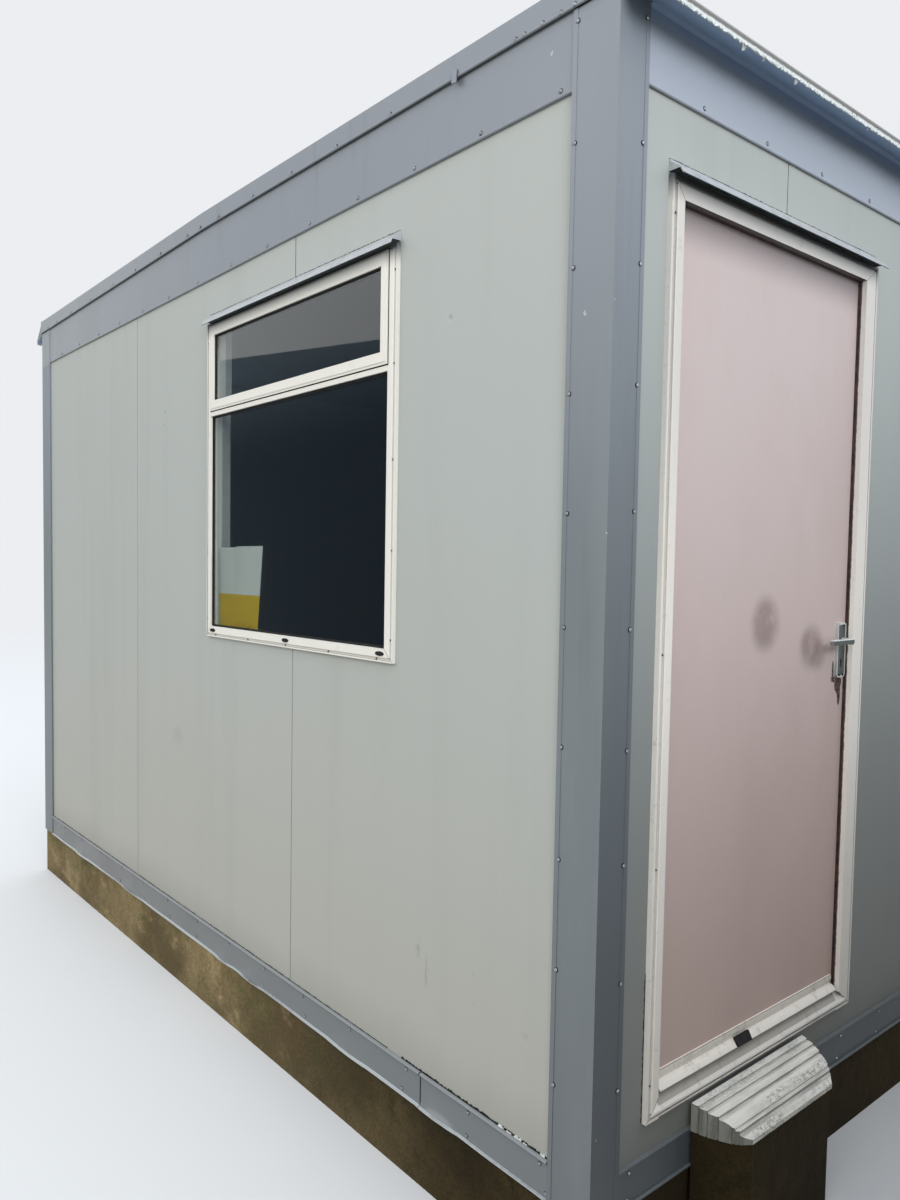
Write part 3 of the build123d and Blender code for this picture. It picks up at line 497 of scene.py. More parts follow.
def doorPaint():
    look = doorPaintLook
    f = Finish("door_paint")
    p = f.place()
    x, y, z = f.axes(p)
    rise = f.fade(z + f.noise(p, 1.4, 2.0) * 0.5, 0.7, 2.4)
    colour = f.mix(rise, look["lower"], look["upper"])
    patch = f.fade(f.noise(f.stretch(p, 1.6, 1.6, 0.8), 2.2, 4.0, 0.6), 0.42, 0.7)
    colour = f.mix(patch * 0.25, colour, look["patch"])
    weave = f.noise(f.stretch(p, 1, 1, 0.15), 130, 2.0)
    colour = f.mix(weave * 0.08, colour, look["weave"])
    outside = y < nearY + 0.03
    for along, up, wide, tall, share in look["smudges"]:
        smudge = f.spotMask(p, spot("door", along, up), (wide, 0.2, tall), 0.6)
        smudge = smudge * f.fade(f.noise(p, 16, 4.0, 0.6), 0.0, 0.52) * outside
        colour = f.mix(smudge * share, colour, look["soil"])
    torn = f.fade(f.noise(f.stretch(p, 2, 1, 0.5), 120, 4.0, 0.7), 0.34, 0.46)
    for along, up, wide, tall in look["drips"]:
        drip = f.fade(f.spotMask(p, spot("door", along, up), (wide, 0.2, tall), 1.0), 0.16, 0.3) * outside
        colour = f.mix(drip * torn, colour, look["drip"])
    for start, end in look["scratches"]:
        line = f.scratch(x - nearX, z - flashingTop, start, end, 0.0008) * outside
        colour = f.mix(line * 0.7, colour, look["scratch"])
    # painted shadow of the rain hood along the leaf's top
    head = f.fade(z, flashingTop + 2.01, flashingTop + 2.11) * outside
    colour = f.mix(head, colour, look["hoodShadow"], "MULTIPLY")
    height = weave * 0.00006 + f.noise(p, 2.0, 1.0) * 0.002
    return f.coat(colour, 0.46 + patch * 0.12, height, Specular_IOR_Level=0.35)


# cast concrete, brown and green with damp, with a painted shade that makes it darkest near the door
plinthLook = {
    "stone": "98865f",
    "pale": "c0aa80",
    "damp": "65583b",
    "moss": "5c5a30",
    "rust": "7c5a34",
    "pit": "3f3727",
    "near": "6e6855",
}


def plinthConcrete():
    look = plinthLook
    f = Finish("plinth_concrete")
    p = f.place()
    x, y, z = f.axes(p)
    colour = f.mix(f.fade(f.noise(p, 2.2, 5.0, 0.6), 0.38, 0.68), look["damp"], look["stone"])
    pale = f.fade(f.noise(f.stretch(p, 1, 1, 1.8), 4.6, 6.0, 0.7), 0.54, 0.74)
    far = f.fade(y, -1.5, -0.2)
    colour = f.mix(pale * (0.2 + far * 0.55), colour, look["pale"])
    streak = f.fade(f.noise(f.stretch(p, 22, 22, 1.6), 1.0, 4.0, 0.6), 0.5, 0.74)
    high = f.fade(z, plinthTop - 0.16, plinthTop)
    colour = f.mix(streak * (0.15 + high * 0.45), colour, look["rust"])
    moss = f.fade(f.noise(p, 9.0, 6.0, 0.75) + high * 0.1, 0.56, 0.7)
    colour = f.mix(moss * 0.6, colour, look["moss"])
    grain = f.noise(p, 120, 4.0, 0.7)
    colour = f.mix(f.fade(grain, 0.42, 0.62) * 0.35, colour, look["pit"])
    # painted shade: multiplied darker towards the door end
    colour = f.mix(1 - far, colour, look["near"], "MULTIPLY")
    height = f.noise(p, 14, 4.0, 0.6) * 0.012 + grain * 0.003
    return f.coat(colour, 0.9, height, Specular_IOR_Level=0.2)


# white painted step block: painted shade on the risers and along the grooves, mould along the ridges; places
# are metres out of the wall
stepLook = {
    "white": "f0ede2",
    "grey": "bdbbb0",
    "mould": "6b6b62",
    "groove": "3f3f3a",
    "end": "8f8d83",
    "endStain": "77766d",
    "endLine": "2e2e2a",
    "grooves": [0.0208, 0.0406, 0.0628, 0.0942, 0.1024],
    "endLines": [0.0208, 0.0406, 0.0628, 0.09],
    "endReach": 0.075,
}


def stepConcrete():
    look = stepLook
    f = Finish("step_paint")
    p = f.place()
    x, y, z = f.axes(p)
    out = nearY - y
    facing = f.facing()
    streak = f.fade(f.noise(f.stretch(p, 0.1, 1, 1), 75, 5.0, 0.7), 0.42, 0.64)
    colour = f.mix(streak * 0.4, look["white"], look["grey"])
    fine = f.fade(f.noise(f.stretch(p, 0.55, 1, 1), 150, 6.0, 0.8), 0.46, 0.6)
    broad = f.fade(f.noise(f.stretch(p, 0.5, 1, 1), 16, 3.0), 0.4, 0.62)
    inner = 1 - f.fade(out, 0.018, 0.048)
    wide = f.fade(out, 0.07, 0.084) * (1 - f.fade(out, 0.092, 0.096))
    outer = f.fade(out, 0.103, 0.112)
    zones = inner * 0.5 + wide * 0.8 + outer * 0.8
    colour = f.mix(fine * broad * zones, colour, look["mould"])
    # painted shade on the steep risers and along each groove
    steep = 1 - f.fade(facing[2], 0.15, 0.45)
    riser = steep * (out < 0.116)
    colour = f.mix(riser * 0.4, colour, look["groove"])
    for place in look["grooves"]:
        line = 1 - f.fade(abs(out - (place + 0.002)), 0.001, 0.0055)
        colour = f.mix(line * (0.22 + streak * 0.18), colour, look["groove"])
    low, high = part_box("door_step")
    nearEnd = (x < low.x + look["endReach"]) + (x > high.x - look["endReach"])
    end = nearEnd * (1 - f.fade(facing[2], 0.1, 0.35)) * (abs(facing[0]) > 0.12)
    stain = f.fade(f.noise(f.stretch(p, 1, 1, 0.2), 60, 4.0), 0.4, 0.6)
    colour = f.mix(end, colour, f.mix(stain, look["end"], look["endStain"]))
    for place in look["endLines"]:
        line = (1 - f.fade(abs(out - place), 0.0004, 0.0018)) * end
        colour = f.mix(line * 0.55, colour, look["endLine"])
    height = f.noise(p, 90, 4.0, 0.7) * 0.0016
    return f.coat(colour, 0.75, height, Specular_IOR_Level=0.3)


# roof sheet: weathered coating, dirt and a little moss
roofLook = {"sheet": "8b9096", "dirt": "6a6c62", "moss": "595b45"}


def roofCoating():
    look = roofLook
    f = Finish("roof_coating")
    p = f.place()
    dirt = f.fade(f.noise(p, 3.0, 6.0, 0.7), 0.4, 0.7)
    colour = f.mix(dirt * 0.7, look["sheet"], look["dirt"])
    moss = f.fade(f.noise(p, 24, 4.0), 0.6, 0.72)
    colour = f.mix(moss * 0.4, colour, look["moss"])
    return f.coat(colour, 0.6 + dirt * 0.2, f.noise(p, 60, 3.0) * 0.0006)


def plainFinish(name, first, second, scale, roughness, height, **constants):
    # one quiet finish: two close tones and a fine grain
    f = Finish(name)
    p = f.place()
    grain = f.noise(p, scale, 4.0, 0.6)
    colour = f.mix(f.fade(grain, 0.35, 0.65), first, second)
    return f.coat(colour, roughness, grain * height, **constants)


# cabin floor: grey flecked sheet, worn darker in places
floorLook = {"light": "5b5f60", "dark": "4a4e50", "worn": "3d3a33"}


def deckFinish():
    look = floorLook
    f = Finish("floor_covering")
    p = f.place()
    fleck = f.node("ShaderNodeTexVoronoi", sockets={"Vector": p, "Scale": 90})
    colour = f.mix(f.fade(fleck, 0.2, 0.6), look["light"], look["dark"])
    colour = f.mix(f.noise(p, 3.0, 4.0) * 0.5, colour, look["worn"])
    return f.coat(colour, 0.5, f.noise(p, 200, 2.0) * 0.0001)


def metalFinish(name, bright, dull, roughness, wearShare):
    f = Finish(name)
    p = f.place()
    worn = f.fade(f.noise(p, 60, 4.0, 0.65), 0.42, 0.62) * wearShare
    colour = f.mix(worn, bright, dull)
    return f.coat(colour, roughness + worn * 0.2, f.noise(p, 300, 2.0) * 0.00005, Metallic=0.85)


# lever: a painted shade on the faces turned to the front, and a painted highlight along its top edge
leverLook = {"bright": "a9aeab", "dull": "8b908d", "front": "434743", "topHighlight": "f6f8f6"}


def leverFinish():
    look = leverLook
    f = Finish("lever_metal")
    p = f.place()
    worn = f.fade(f.noise(p, 60, 4.0, 0.65), 0.42, 0.62)
    colour = f.mix(worn * 0.4, look["bright"], look["dull"])
    # painted shade on the faces turned to the front
    colour = f.mix(f.fade(abs(f.facing()[1]), 0.8, 0.95), colour, look["front"])
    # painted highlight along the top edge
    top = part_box("lever_handle")[1].z
    topHighlight = f.fade(f.axes(p)[2], top - 0.0055, top - 0.003)
    colour = f.mix(topHighlight, colour, look["topHighlight"])
    return f.coat(colour, 0.3 + worn * 0.1, f.noise(p, 300, 2.0) * 0.00005, Metallic=0.75)


# handle plates: a dull face, and a painted highlight on its rolled rim
plateLook = {
    "face": "484e4b",
    "soil": "3a3f3d",
    "rim": "d3d7d4",
    "centre": (1.046, 1.102),
    "half": (0.017, 0.068),  # half the width and half the height of the face
}


def plateFinish():
    look = plateLook
    f = Finish("plate_metal")
    p = f.place()
    x, y, z = f.axes(p)
    across = abs(x - (nearX + look["centre"][0])) - look["half"][0]
    upward = abs(z - (flashingTop + look["centre"][1])) - look["half"][1]
    # painted highlight on the rolled rim
    rim = f.fade(across.calc("MAXIMUM", across / 0.0045, upward / 0.005), 0.0, 0.8)
    soil = f.fade(f.noise(p, 35, 4.0, 0.6), 0.4, 0.7)
    face = f.mix(soil * 0.5, look["face"], look["soil"])
    colour = f.mix(rim, face, look["rim"])
    return f.coat(colour, 0.3 + soil * 0.15, f.noise(p, 300, 2.0) * 0.00004, Metallic=0.7)


def glassFinish():
    # clear pane with a faint film of dirt
    f = Finish("window_glass")
    film = f.fade(f.noise(f.stretch(f.place(), 8, 8, 1.2), 1.5, 5.0, 0.7), 0.45, 0.8)
    return f.coat("c9d2d0", 0.01 + film * 0.03, IOR=1.72, Transmission_Weight=1.0)


# bare cards behind the glass: white above, yellow below the split
cardLook = {"upper": "f7f8f4", "lower": "f2c80f", "split": 1.2125}


def cardFinish():
    look = cardLook
    f = Finish("card")
    p = f.place()
    edge = flashingTop + look["split"] + f.noise(p, 1.0, 1.0) * 0.001
    colour = f.mix(f.axes(p)[2] > edge, look["lower"], look["upper"])
    return f.coat(colour, 0.5, Specular_IOR_Level=0.4)


paint = wallPaint()
trim = trimPaint()
eave = eavePaint()
hood = hoodPaint()
windowWhite = frameCoating("window")
doorWhite = frameCoating("door")
door = doorPaint()
concrete = plinthConcrete()
stepPaint = stepConcrete()
roof = roofCoating()
floorCover = deckFinish()
plates = plateFinish()
leverMetal = leverFinish()
card = cardFinish()
glass = glassFinish()

# metals: two tones, roughness and the share of the duller tone
screwMetal = metalFinish("screw_metal", "a9adb0", "7c8083", 0.35, 0.6)
dullScrews = metalFinish("dull_screw_metal", "64615a", "403d38", 0.55, 0.8)
hingeMetal = metalFinish("hinge_metal", "a7aaa8", "85877f", 0.4, 1.0)

# quiet finishes: two tones, the scale of the grain, roughness and the depth of the grain
# the inner trim is given a grey in place of its white, as painted shade inside the window
innerWhite = plainFinish("inner_trim_coating", "b5b5b1", "acaca7", 30, 0.5, 0.0001)
# the ceiling lining is given a dark grey in place of a pale board, as painted shade inside the cabin
ceiling = plainFinish("ceiling_lining", "5d5b55", "55524c", 30, 0.7, 0.0002)
rubber = plainFinish("black_rubber", "19191a", "262422", 60, 0.7, 0.0003, Specular_IOR_Level=0.2)
doorSeal = plainFinish("rusted_seal", "452b28", "1c1514", 45, 0.7, 0.001)
jointGrey = plainFinish("faint_joint", "7f827e", "6f726f", 30, 0.7, 0.0001)
jointDark = plainFinish("open_joint", "3d403f", "2f3231", 30, 0.7, 0.0001)
sealant = plainFinish("sealant", "e9eae5", "cfd0c8", 80, 0.6, 0.0006)
chalk = plainFinish("chalky_zinc", "e6eae7", "b9bdb8", 140, 0.8, 0.0012)
print("finishes made")


def finishOf(node):
    # the first entry whose words are in the node's name
    rules = [
        ("plinth", concrete), ("footing", concrete), ("step", stepPaint), ("floor_deck", floorCover),
        ("roof_deck", ceiling), ("roof_sheet", roof), ("panel", paint), ("over_door", paint),
        ("under_door", paint), ("hood", hood), ("eave", eave), ("window_frame", windowWhite),
        ("vent_sash", windowWhite), ("window_inner_trim", innerWhite),
        ("window_glass", glass), ("door_frame", doorWhite), ("door_sill", doorWhite),
        ("weather_bar", doorWhite), ("door_leaf", door), ("hinge", hingeMetal), ("plates", plates),
        ("lever", leverMetal), ("", trim)]
    return next(finish for words, finish in rules if words in node)


for nodeName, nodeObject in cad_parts.items():
    nodeObject.data.materials.clear()
    nodeObject.data.materials.append(finishOf(nodeName))
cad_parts["window_glass"].visible_shadow = False
print("finishes given to the solid parts")


def meshPiece(name, verts, faces, finish, body="cabin"):
    mesh = bpy.data.meshes.new(name)
    mesh.from_pydata([tuple(v) for v in verts], [], faces)
    mesh.validate()
    shape = bmesh.new()
    shape.from_mesh(mesh)
    bmesh.ops.recalc_face_normals(shape, faces=shape.faces)
    shape.to_mesh(mesh)
    shape.free()
    mesh.shade_smooth()
    mesh.set_sharp_from_angle(angle=math.radians(35.0))
    mesh.materials.append(finish)
    piece = bpy.data.objects.new(name, mesh)
    bpy.context.scene.collection.objects.link(piece)
    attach(piece, body)
    return piece


def oval(wide, tall, count=12):
    turns = [2 * math.pi * i / count for i in range(count)]
    return [(wide * math.cos(turn), tall * math.sin(turn)) for turn in turns]


def stackPiece(name, outline, layers, spots, finish, body="cabin"):
    # equal raised shapes in one mesh: at each spot, the outline at each layer's (scale, height)
    verts = []
    faces = []
    count = len(outline)
    for point, facing in spots:
        turn = facing.to_track_quat("Z", "Y").to_matrix()
        first = len(verts)
        for scale, height in layers:
            for across, up in outline:
                verts.append(point + turn @ Vector((across * scale, up * scale, height)))
        for layer in range(len(layers) - 1):
            for step in range(count):
                a = first + layer * count + step
                b = first + layer * count + (step + 1) % count
                faces.append((a, b, b + count, a + count))
        last = first + (len(layers) - 1) * count
        faces.append(tuple(range(last, last + count)))
        faces.append(tuple(range(first + count - 1, first - 1, -1)))
    return meshPiece(name, verts, faces, finish, body)


def ringPiece(name, wall, outline, section, finish):
    # a section of (inset, out) points carried round a rectangle on a wall, with mitred corners
    along0, along1, low, high = outline
    corners = [(along0, low, 1, 1), (along1, low, -1, 1), (along1, high, -1, -1), (along0, high, 1, -1)]
    verts = []
    for along, height, alongSign, heightSign in corners:
        for inset, out in section:
            verts.append(spot(wall, along + inset * alongSign, height + inset * heightSign, out))
    count = len(section)
    faces = []
    for corner in range(4):
        after = (corner + 1) % 4
        for i in range(count):
            j = (i + 1) % count
            faces.append((corner * count + i, after * count + i, after * count + j, corner * count + j))
    return meshPiece(name, verts, faces, finish)


def runPiece(name, wall, section, stations, shift, finish):
    # a closed section of (out, height) points carried along a wall; shift moves each point
    verts = []
    for along in stations:
        for out, height in section:
            moveOut, moveUp = shift(along, height)
            verts.append(spot(wall, along, height + moveUp, out + moveOut))
    count = len(section)
    faces = [tuple(range(count)), tuple(range(len(verts) - count, len(verts)))]
    for first in range(0, len(verts) - count, count):
        for i in range(count):
            j = (i + 1) % count
            faces.append((first + i, first + j, first + count + j, first + count + i))
    return meshPiece(name, verts, faces, finish)


def sheetPiece(name, wall, point, columns, rows, thick, finish, body="cabin"):
    # a thin sheet; point gives (along, height, out) of its front for whole steps across and up
    wide = columns + 1
    back = wide * (rows + 1)
    verts = []
    for depth in (0.0, thick):
        for row in range(rows + 1):
            for column in range(wide):
                along, height, out = point(column, row)
                verts.append(spot(wall, along, height, out - depth))
    faces = []
    for row in range(rows):
        for column in range(columns):
            a = row * wide + column
            faces.append((a, a + 1, a + wide + 1, a + wide))
            faces.append((back + a, back + a + wide, back + a + wide + 1, back + a + 1))
    rim = list(range(wide)) + [row * wide + columns for row in range(1, rows + 1)]
    rim += list(range(back - 2, back - wide - 1, -1)) + [row * wide for row in range(rows - 1, 0, -1)]
    for i, vert in enumerate(rim):
        after = rim[(i + 1) % len(rim)]
        faces.append((vert, after, back + after, back + vert))
    return meshPiece(name, verts, faces, finish, body)


def barsPiece(name, wall, bars, finish):
    # narrow straight bars in one mesh, each from one corner to the other in (along, height, out)
    verts = []
    faces = []
    sides = [(0, 1, 3, 2), (4, 5, 7, 6), (0, 1, 5, 4), (2, 3, 7, 6), (0, 2, 6, 4), (1, 3, 7, 5)]
    for (a0, h0, o0), (a1, h1, o1) in bars:
        faces += [tuple(len(verts) + i for i in side) for side in sides]
        verts += [spot(wall, a, h, o) for o in (o0, o1) for h in (h0, h1) for a in (a0, a1)]
    return meshPiece(name, verts, faces, finish)


def raggedPiece(name, wall, start, end, base, reach, swing, out, thick, finish, upright=False, pitch=0.004):
    # a thin bead with one torn edge, along a wall or up it
    count = max(2, round((end - start) / pitch))
    edge = [reach * random.uniform(1 - swing, 1 + swing) for _ in range(count + 1)]

    def point(column, row):
        run = start + (end - start) * column / count
        side = base + edge[column] * row
        return (side, run, out) if upright else (run, side, out)
    return sheetPiece(name, wall, point, count, 1, thick, finish)


# screws in metres: layers are (scale, height), rows are places along a wall or (along, height) on it
# "ground" is how far out of the wall's plane each row's sheet lies
screwLook = {
    "head": [(1.0, -0.003), (1.0, 0.0008), (0.9, 0.0019), (0.62, 0.0027), (0.3, 0.003)],
    "washer": [(1.3, -0.003), (1.3, 0.0003), (1.12, 0.0006)],
    "radius": 0.0043,
    "frameRadius": 0.0029,
    "ground": {"posts": -0.0005, "fascias": -0.0035, "flashings": -0.003, "verges": 0.006, "frames": 0.0015,
               "plate": -0.008},
    "postLegs": {"window": 0.108, "far": 0.108, "door": 0.086, "back": 0.086},
    "firstPost": 0.183,
    "postPitch": 0.252,
    "fasciaHeight": 2.3305,
    "longFascia": (0.153, 0.2425),  # the first screw and the pitch
    "shortFascia": (0.303, 0.263),
    "flashingHeights": (-0.018, -0.078),
    "firstFlashing": 0.134,
    "flashingPitch": 0.2445,
    "behindStep": (0.3, 0.92),
    "vergeHeight": 2.486,
    "verge": [0.113, 0.151, 0.201, 0.254, 0.28, 0.726, 0.97, 1.208, 1.442, 1.675, 1.811, 1.914, 2.147, 2.391,
              2.629, 2.901, 3.148, 3.355, 3.48],
    "windowEdges": (0.699, 1.749),
    "windowSides": [1.121, 1.36, 1.6, 1.851, 2.093],
    "windowFootHeight": 1.067,
    "windowFoot": [0.76, 0.99, 1.226, 1.461, 1.69],
    "jambs": [(0.197, 0.162), (0.197, 0.655), (0.197, 1.133), (0.197, 2.08), (1.136, 0.25), (1.136, 0.723),
              (1.136, 1.116), (1.136, 1.327), (1.136, 1.9)],
    "sillHeight": 0.087,
    "sill": [0.265, 0.656, 1.043],
    "plate": [(1.0365, 1.032), (1.056, 1.032), (1.054, 1.17)],
}


def roofRise(along):
    # the verge rises to a kink at mid-length
    return 0.02 * (1 - min(1.0, abs(along + nearY) / 1.732))


def fixing(wall, along, height, out):
    # a place on a wall and the way it faces
    return spot(wall, along, height, out), walls[wall][2]


def screwRows():
    look = screwLook
    ground = look["ground"]
    random.seed(11)
    rows = {"posts": [], "fascias": [], "flashings": [], "verges": []}
    for wall, reach in look["postLegs"].items():
        length = wallLength[wall]
        for leg in (reach, length - reach):
            for number in range(10):
                height = look["firstPost"] + number * look["postPitch"] + random.uniform(-0.008, 0.008)
                if height < postHigh.z - flashingTop - 0.02:
                    along = leg + random.uniform(-0.002, 0.002)
                    rows["posts"].append(fixing(wall, along, height, ground["posts"]))
        place, pitch = look["longFascia"] if wall in ("window", "far") else look["shortFascia"]
        while place < length - 0.12:
            rows["fascias"].append(fixing(wall, place, look["fasciaHeight"], ground["fascias"]))
            place += pitch + random.uniform(-0.003, 0.003)
        place = look["firstFlashing"]
        upper, lower = look["flashingHeights"]
        while place < length - 0.115:
            if wall != "door" or not look["behindStep"][0] < place < look["behindStep"][1]:
                shift = random.uniform(-0.01, 0.01)
                rows["flashings"].append(fixing(wall, place + shift, upper, ground["flashings"]))
                rows["flashings"].append(fixing(wall, place - shift, lower, ground["flashings"]))
            place += look["flashingPitch"]
    for wall in ("window", "far"):
        for along in look["verge"]:
            height = look["vergeHeight"] + 1.3 * roofRise(along)
            rows["verges"].append(fixing(wall, along, height, ground["verges"]))
    return rows


def fixingRows():
    # the smaller screws of the window's and the door's frames, and of the handle plate
    look = screwLook
    ground = look["ground"]
    window = [(along, height) for along in look["windowEdges"] for height in look["windowSides"]]
    window += [(along, look["windowFootHeight"]) for along in look["windowFoot"]]
    doorFrame = look["jambs"] + [(along, look["sillHeight"]) for along in look["sill"]]
    return {
        "window": [fixing("window", *place, ground["frames"]) for place in window],
        "door": [fixing("door", *place, ground["frames"]) for place in doorFrame],
        "plate": [fixing("door", *place, ground["plate"]) for place in look["plate"]],
    }


def setScrews():
    look = screwLook
    ring = oval(look["radius"], look["radius"])
    for rowName, spots in screwRows().items():
        stackPiece("screws_" + rowName, ring, look["head"], spots, screwMetal)
        stackPiece("washers_" + rowName, ring, look["washer"], spots, rubber)
    small = oval(look["frameRadius"], look["frameRadius"])
    for rowName, spots in fixingRows().items():
        finish = rubber if rowName == "plate" else dullScrews
        body = "door" if rowName == "plate" else "cabin"
        stackPiece("frame_screws_" + rowName, small, look["head"], spots, finish, body)


setScrews()
print("screws set")


# black seals and dark gap lines, in metres; the top light's gap line and part of the pane seal stand in for
# shadow as painted shade
# a ring is (name, wall, outline, section of (inset, out) points), a joint (wall, along, low, high)
sealLook = {
    "rings": [
        # a black glazing seal, made wider to take in the shadow beside the glass: partly painted shade
        ("pane_seal", "window", (0.724, 1.724, 1.096, 1.835),
         [(-0.002, -0.0085), (0.0065, -0.0085), (0.0062, -0.0064), (0.0006, -0.001), (-0.002, -0.001)]),
        ("top_light_seal", "window", (0.751, 1.697, 1.887, 2.112),
         [(-0.002, -0.0024), (0.0055, -0.0024), (0.0052, -0.0002), (0.0006, 0.005), (-0.002, 0.005)]),
        ("leaf_seal", "door", (0.226, 1.078, 0.1275, 2.112),
         [(-0.0005, -0.008), (0.0008, -0.0085), (0.001, -0.0156), (-0.005, -0.0156), (-0.005, -0.0135),
          (-0.0005, -0.0135)]),
        # a dark strip standing in for the shadow gap round the top light, painted shade
        ("top_light_gap_shadow", "window", (0.724, 1.724, 1.853, 2.15),
         [(-0.0034, 0.0054), (0.0, 0.0054), (0.0, 0.0046), (-0.0034, 0.0046)])],
    "joints": [
        ("window", 1.2, 2.192, 2.315), ("window", 1.2, -0.001, 1.059), ("window", 2.4, -0.001, 2.315),
        ("far", 1.2, -0.001, 2.315), ("far", 2.4, -0.001, 2.315), ("door", 0.674, 2.192, 2.315),
        ("door", 1.874, -0.001, 2.315), ("back", 0.674, -0.001, 2.315), ("back", 1.874, -0.001, 2.315)],
    "jointHalf": 0.0012,
    "jointDepth": (-0.011, -0.0085),
    "hoodLine": ((2.1918, -0.0085), (2.1934, -0.0066)),  # (height, out) of its two corners
    "hoodSealant": (2.193, 0.0012, 0.9, -0.007, 0.0012),  # base, reach, swing, out, thick
}


def laySeals():
    look = sealLook
    for name, wall, outline, section in look["rings"]:
        ringPiece(name, wall, outline, section, doorSeal if wall == "door" else rubber)
    half = look["jointHalf"]
    back, front = look["jointDepth"]
    for number, (wall, along, low, high) in enumerate(look["joints"], 1):
        strip = [((along - half, low, back), (along + half, high, front))]
        finish = jointDark if wall == "door" or low > 2.0 else jointGrey
        barsPiece("panel_joint_" + str(number), wall, strip, finish)
    lower, upper = look["hoodLine"]
    for wall in ("window", "door"):
        node = wall + "_hood"
        corner, alongWay, outWay = walls[wall]
        start, end = sorted((point - corner).dot(alongWay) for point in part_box(node))
        barsPiece(node + "_sealing_line", wall, [((start, *lower), (end, *upper))], rubber)
        raggedPiece(node + "_sealant", wall, start, end, *look["hoodSealant"], rubber)


laySeals()
print("seals laid")


# window wall flashings, bent by knocks: (along, half length, reach up from the foot, push out)
# a piece is (name, node it replaces, start, end), a bead of dirt (name, start, end, reach, out, thick, pitch)
# a fleck of sealant is (along, half length, height)
flashingLook = {
    "section": [
        (-0.008, 0.0), (0.0018, 0.0), (0.003, -0.0012), (0.003, -0.006), (-0.003, -0.006),
        (-0.003, -0.03), (-0.003, -0.045), (-0.003, -0.06), (-0.003, -0.076), (-0.003, -0.0895),
        (0.004, -0.0895), (0.004, -0.092), (-0.0055, -0.092), (-0.0055, -0.076), (-0.0055, -0.06),
        (-0.0055, -0.045), (-0.0055, -0.03), (-0.0055, -0.0035), (0.0005, -0.0035), (0.0005, -0.0025),
        (-0.008, -0.0025)],
    "knocks": [
        (0.49, 0.075, 0.055, 0.007), (1.625, 0.06, 0.045, 0.006), (1.434, 0.074, 0.045, 0.006),
        (0.88, 0.09, 0.04, 0.004), (2.45, 0.11, 0.045, 0.006), (3.05, 0.08, 0.04, 0.005)],
    "pieces": [
        ("bent_flashing_front", "window_wall_flashing_front", 0.1205, 0.5545),
        ("bent_flashing_rear", "window_wall_flashing_rear", 0.5575, 3.4795)],
    "beads": [
        ("flashing_bead_near", 0.122, 0.64, 0.003, -0.0055, 0.003, 0.004),
        ("flashing_bead_far", 0.7, 3.47, 0.0012, -0.006, 0.002, 0.01)],
    "gap": [
        ((0.5544, -0.09, -0.006), (0.5578, -0.006, -0.0024)),
        ((0.5544, -0.0062, -0.006), (0.5578, 0.0002, 0.0032))],
    "flecks": [
        (0.268, 0.009, 0.0026), (0.241, 0.007, 0.002), (0.213, 0.011, 0.0032), (0.19, 0.005, 0.0018),
        (0.137, 0.006, 0.0028)],
}


def flashingShift(along, height):
    # how far a point of the flashing has been pushed out and up
    low = min(1.0, max(0.0, -height / 0.092))
    out = low * (0.0007 * math.sin(along * 9.0) + 0.0005 * math.sin(along * 23.0 + 1.0))
    up = low * 0.0012 * math.sin(along * 5.3 + 0.6)
    for middle, half, reach, push in flashingLook["knocks"]:
        share = max(0.0, 1 - abs(along - middle) / half)
        depth = max(0.0, 1 - (height + 0.092) / (reach * (0.15 + 0.85 * share))) if share else 0.0
        out += push * share ** 0.5 * min(1.0, depth * 1.4)
        up += push * 0.25 * share * depth
    return out, up


def bendFlashings():
    look = flashingLook
    random.seed(3)
    for name, node, start, end in look["pieces"]:
        count = round((end - start) / 0.012)
        stations = [start + (end - start) * i / count for i in range(count + 1)]
        piece = runPiece(name, "window", look["section"], stations, flashingShift, trim)
        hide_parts(node)
    barsPiece("flashing_joint_gap", "window", look["gap"], rubber)
    for name, start, end, reach, out, thick, pitch in look["beads"]:
        raggedPiece(name, "window", start, end, 0.0, reach, 0.9, out, thick, rubber, pitch=pitch)
    for number, (along, half, tall) in enumerate(look["flecks"], 1):
        start, end = along - half, along + half
        name = "sealant_fleck_" + str(number)
        raggedPiece(name, "window", start, end, 0.001, tall, 0.9, -0.0036, 0.004, sealant, pitch=0.003)


bendFlashings()
print("flashings bent")


# small parts on the window and the door, in metres
# a card is (name, start, end, low, high, depth, swell, lean); the patch runs from its foot to its head
fittingLook = {
    "caps": [0.743, 1.223, 1.707],
    "capSize": (0.019, 0.0064),
    "capLayers": [(1.0, -0.001), (1.0, 0.0014), (0.86, 0.003), (0.5, 0.0038)],
    "cards": [
        ("left_card", 1.716, 1.572, 1.089, 1.375, -0.04, 0.0025, 0.0),
        ("right_card", 1.586, 1.41, 1.089, 1.378, -0.035, 0.0055, 0.032)],
    "cardSteps": (12, 8),
    "key": (1.045, 1.072),
    "keyLayers": [(1.0, -0.001), (1.0, 0.0004), (0.9, 0.0007)],
    "patchEnds": (0.555, 0.62),
    "patchFoot": (0.137, 0.008),
    "patchHead": (0.154, -0.005),
    "patchLean": 0.004,
    # start, end, base, reach, swing, out and thickness of the dirt along the jamb
    "jambBead": (0.076, 0.42, 0.1845, -0.0022, 0.9, -0.007, 0.0012),
}


def keyOutline():
    # keyhole: a round head with a straight foot
    turns = [math.radians(-50 + 280 * i / 12) for i in range(13)]
    head = [(0.005 * math.cos(turn), 0.005 * math.sin(turn)) for turn in turns]
    return head + [(-0.003, -0.0165), (-0.0016, -0.018), (0.0016, -0.018), (0.003, -0.0165)]


